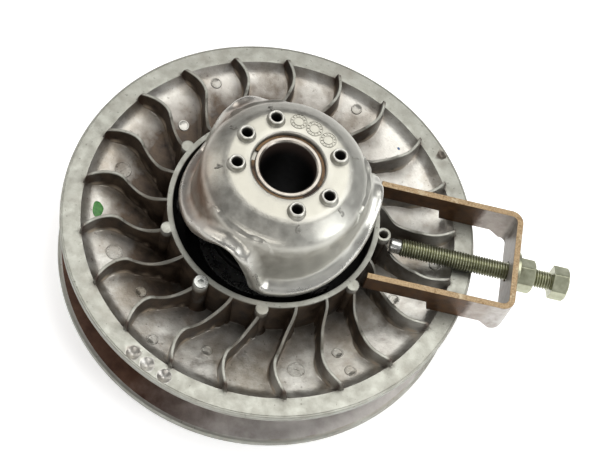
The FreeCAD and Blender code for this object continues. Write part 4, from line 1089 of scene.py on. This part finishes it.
ob = make_piece("ramp_spring", V, faces, BODY_OF["spring"], M_SPRING, sharp=40.0)
bmx.from_mesh(ob.data)
bmesh.ops.recalc_face_normals(bmx, faces=bmx.faces)
bmx.to_mesh(ob.data)
bmx.free()
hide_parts("spring")
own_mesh(ob)

# ------------------------------------------------------------------ feed bolt, nut and point
AX = Vector((math.cos(LAY), math.sin(LAY), 0))
TA = Vector((-math.sin(LAY), math.cos(LAY), 0))
BZ = 56.9


def along(s, off=-1.75):
    return AX * s + TA * off + Vector((0, 0, BZ))


def bolt_point_grid(rows, cols=None):
    """rows: list of (s, radius array over columns)."""
    n = len(rows[0][1])
    th = np.arange(n) * 2 * math.pi / n
    out = []
    for s, rad in rows:
        c = along(s)
        out.append([tuple(c + TA * (rad[j] * math.cos(th[j])) + Vector((0, 0, 1)) * (rad[j] * math.sin(th[j]))) for j in range(n)])
    P = np.array(out)
    V = P.reshape(-1, 3) * MM
    Fq = lattice_faces(P.shape[0], n, wrap_rows=True)
    return (V, Fq) if outward(V, Fq) else (V, Fq[:, ::-1])


def thread_rows(s0, s1, major=5.93, depth=1.02, pitch=1.75, cols=36):
    th = np.arange(cols) * 2 * math.pi / cols
    rows = []
    n = int((s1 - s0) / (pitch / 12.0))
    for i in range(n + 1):
        s = s0 + (s1 - s0) * i / n
        ph = ((s / pitch - th / (2 * math.pi)) % 1.0)
        tri = np.abs(ph - 0.5) * 2.0            # 1 at the crest, 0 at the root
        f = np.clip((tri - 0.14) / 0.72, 0, 1)
        f = f * f * (3 - 2 * f) * 0.35 + f * 0.65
        end = min(1.0, (s - s0) / 1.2, (s1 - s) / 1.2)
        rows.append((s, (major - depth) + depth * f * max(0.0, end)))
    return rows


def hex_rows(s0, thick, flats, both, cols=144, hole=None):
    """Hexagon whose corners are turned down by a 30 degree cone at the ends."""
    th = np.arange(cols) * 2 * math.pi / cols
    face = (np.degrees(th) + 30.0) % 60.0 - 30.0
    h = (flats / 2) / np.cos(np.radians(face))
    soft = flats / 2 / math.cos(math.radians(30)) - 0.12
    h = np.minimum(h, soft)
    rows = []
    xs = sorted(set([0.0, 0.08, 0.2, 0.35, 0.5, 0.7, 0.9, 1.15, 1.4, thick * 0.5, thick - 1.4, thick - 1.15, thick - 0.9, thick - 0.7, thick - 0.5, thick - 0.35, thick - 0.2, thick - 0.08, thick]))
    for x in xs:
        cone = flats / 2 * 0.955 + (thick - x) * 1.75 + 0.0
        r = np.minimum(h, cone)
        if both:
            r = np.minimum(r, flats / 2 * 0.955 + x * 1.75)
        e = min(x, thick - x)
        if e < 0.2:
            r = r - (0.2 - e) * 0.5
        rows.append((s0 + x, r))
    return rows


core = thread_rows(84.0, 183.3, cols=36)
tiny = np.full(36, 0.02)
core = [(84.05, tiny), (84.02, np.full(36, 3.6)), (84.0, np.full(36, 4.7))] + core + [(183.6, np.full(36, 4.9)), (184.0, tiny)]
bolt_v, bolt_f = bolt_point_grid(core)
hx = hex_rows(183.5, 10.4, 19.0, False)
tiny = np.full(144, 0.02)
hx = [(183.5, tiny), (183.5, hx[0][1] * 0.6)] + hx + [(193.9, hx[-1][1] * 0.90), (193.78, hx[-1][1] * 0.86), (193.78, hx[-1][1] * 0.3), (193.78, tiny)]
head_v, head_f = bolt_point_grid(hx)
bv, bf = merge([(bolt_v, bolt_f), (head_v, head_f)])
c0 = np.array(along(0.0)) * MM
rel = bv - c0
lon = rel @ np.array(AX)
rad = np.linalg.norm(rel - lon[:, None] * np.array(AX), axis=1) / MM
# painted shade in the thread roots
root_shading = np.where(lon / MM < 183.4, np.clip((5.55 - rad) / 0.5, 0, 1), 0.0)
ob = make_piece("feed_bolt_threaded", bv, bf, BODY_OF["feed_bolt"], M_ZINC, sharp=32.0, attrs={"root_shading": root_shading})
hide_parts("feed_bolt")

nx = hex_rows(160.47, 11.0, 19.0, True)
ring_in = np.full(144, 6.05)
nx = [(nx[0][0] + 0.9, ring_in), (nx[0][0], np.full(144, 6.9))] + nx + [(nx[-1][0], np.full(144, 6.9)), (nx[-1][0] - 0.9, ring_in)]
nv, nf = bolt_point_grid(nx)
ob = make_piece("bracket_nut_hex", nv, nf, BODY_OF["bracket_nut"], M_ZINC, sharp=28.0)
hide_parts("bracket_nut")

one = np.ones(48)
tipr = [(76.8, one * 0.02), (76.8, one * 3.0), (76.85, one * 3.7), (77.1, one * 4.25), (77.5, one * 4.55), (78.2, one * 4.68), (81.0, one * 4.7), (83.4, one * 4.7),
        (83.8, one * 4.55), (83.9, one * 4.2), (83.9, one * 2.5), (91.0, one * 2.45), (91.6, one * 1.9), (91.6, one * 0.02)]
tv, tf = bolt_point_grid(tipr)
ob = make_piece("bolt_point_pad", tv, tf, BODY_OF["bolt_tip"], M_BRIGHT, sharp=34.0)
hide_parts("bolt_tip")

# ------------------------------------------------------------------ turned, bent and moulded pieces: edges broken, finish
PLAIN = {
    "hub_post": (M_POST, 0.25), "snap_ring": (M_SNAP, 0.2), "bracket": (M_BRACKET, 0.45), "bracket_washer": (M_ZINC, 0.3),
    "thrust_washer": (M_BRIGHT, 0.2), "spring_seat": (M_NYLON, 0.2), "cam_key": (M_POST, 0.2), "roller_1": (M_NYLON, 0.5),
    "roller_2": (M_NYLON, 0.5), "roller_3": (M_NYLON, 0.5), "roller_pins": (M_SPRING, 0.3), "roller_clips": (M_SPRING, 0.1),
    "boss_screws": (M_BRIGHT, 0.25),
}
for name, (mat, bevel) in PLAIN.items():
    src = bmesh.new()
    src.from_mesh(frame["nodes"][name].data)
    bmesh.ops.remove_doubles(src, verts=src.verts, dist=1e-6)
    bmesh.ops.dissolve_limit(src, angle_limit=math.radians(0.4), verts=src.verts, edges=src.edges, use_dissolve_boundaries=False)
    src.verts.ensure_lookup_table()
    src.verts.index_update()
    verts = [tuple(v.co) for v in src.verts]
    faces = [tuple(v.index for v in f.verts) for f in src.faces]
    src.free()
    ob = make_piece(name + "_finished", verts, faces, BODY_OF[name], mat, sharp=None)
    bmod = ob.modifiers.new("edge_break", "BEVEL")
    bmod.width = bevel * MM
    bmod.segments = 3
    bmod.limit_method = "ANGLE"
    bmod.angle_limit = math.radians(35)
    bmod.harden_normals = True
    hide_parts(name)

# ------------------------------------------------------------------ CAD nodes that stay as they are
KEEP = {"hub_seal": M_RUBBER, "hub_bushing_lower": M_BRONZE, "hub_bushing_upper": M_BRONZE}
for name, mat in KEEP.items():
    o = frame["nodes"][name]
    if not o.material_slots:
        o.data.materials.append(mat)
    for slot_item in o.material_slots:
        slot_item.material = mat

# ------------------------------------------------------------------ floor and light
bm = bmesh.new()
bmesh.ops.create_grid(bm, x_segments=8, y_segments=8, size=3.0)
me = bpy.data.meshes.new("floor")
bm.to_mesh(me)
bm.free()
floor_ob = bpy.data.objects.new("floor", me)
floor_ob.location = (0, 0, -0.0002)
bpy.context.scene.collection.objects.link(floor_ob)
fm = Mat("floor_white")
fm.out(fm.mix(fm.remap(fm.noise(3.0, 2.0), 0.3, 0.7), srgb(250, 250, 250), srgb(247, 247, 247)), 0.75, 0.0)
fm.b.inputs["Emission Color"].default_value = (1.0, 1.0, 1.0, 1.0)
fm.b.inputs["Emission Strength"].default_value = 0.36
me.materials.append(fm.m)

world = bpy.data.worlds.new("studio")
bpy.context.scene.world = world
world.use_nodes = True
wt = world.node_tree
bg = wt.nodes["Background"]
tc = wt.nodes.new("ShaderNodeTexCoord")
sep = wt.nodes.new("ShaderNodeSeparateXYZ")
ramp = wt.nodes.new("ShaderNodeValToRGB")
wt.links.new(tc.outputs["Generated"], sep.inputs[0])
mr = wt.nodes.new("ShaderNodeMapRange")
mr.inputs["From Min"].default_value, mr.inputs["From Max"].default_value = -0.2, 1.0
wt.links.new(sep.outputs[2], mr.inputs["Value"])
wt.links.new(mr.outputs["Result"], ramp.inputs["Fac"])
ramp.color_ramp.elements[0].position, ramp.color_ramp.elements[0].color = 0.0, (0.50, 0.50, 0.50, 1)
ramp.color_ramp.elements[1].position, ramp.color_ramp.elements[1].color = 1.0, (0.42, 0.42, 0.43, 1)
mid_el = ramp.color_ramp.elements.new(0.35)
mid_el.color = (0.16, 0.16, 0.165, 1)
wt.links.new(ramp.outputs["Color"], bg.inputs["Color"])
bg.inputs["Strength"].default_value = 0.9


def area(name, loc, target, size, power, color=(1, 1, 1)):
    ld = bpy.data.lights.new(name, "AREA")
    ld.shape = "RECTANGLE"
    ld.size, ld.size_y = size
    ld.energy = power
    ld.color = color
    lo = bpy.data.objects.new(name, ld)
    lo.location = loc
    lo.rotation_mode = "QUATERNION"
    lo.rotation_quaternion = (Vector(target) - Vector(loc)).to_track_quat("-Z", "Y")
    bpy.context.scene.collection.objects.link(lo)


area("key", (0.10, 0.42, 1.25), (0, 0, 0.05), (1.5, 1.0), 15.5, (1.0, 0.99, 0.965))
area("side", (1.15, -0.25, 0.60), (0.05, 0, 0.05), (0.5, 0.8), 6.5, (0.98, 0.99, 1.0))
area("front", (-0.1, -1.2, 0.60), (0, 0, 0.05), (1.0, 0.35), 5.5, (1.0, 0.98, 0.95))
area("left", (-1.2, 0.2, 0.55), (-0.05, 0, 0.05), (0.5, 0.5), 2.5, (1.0, 0.97, 0.93))
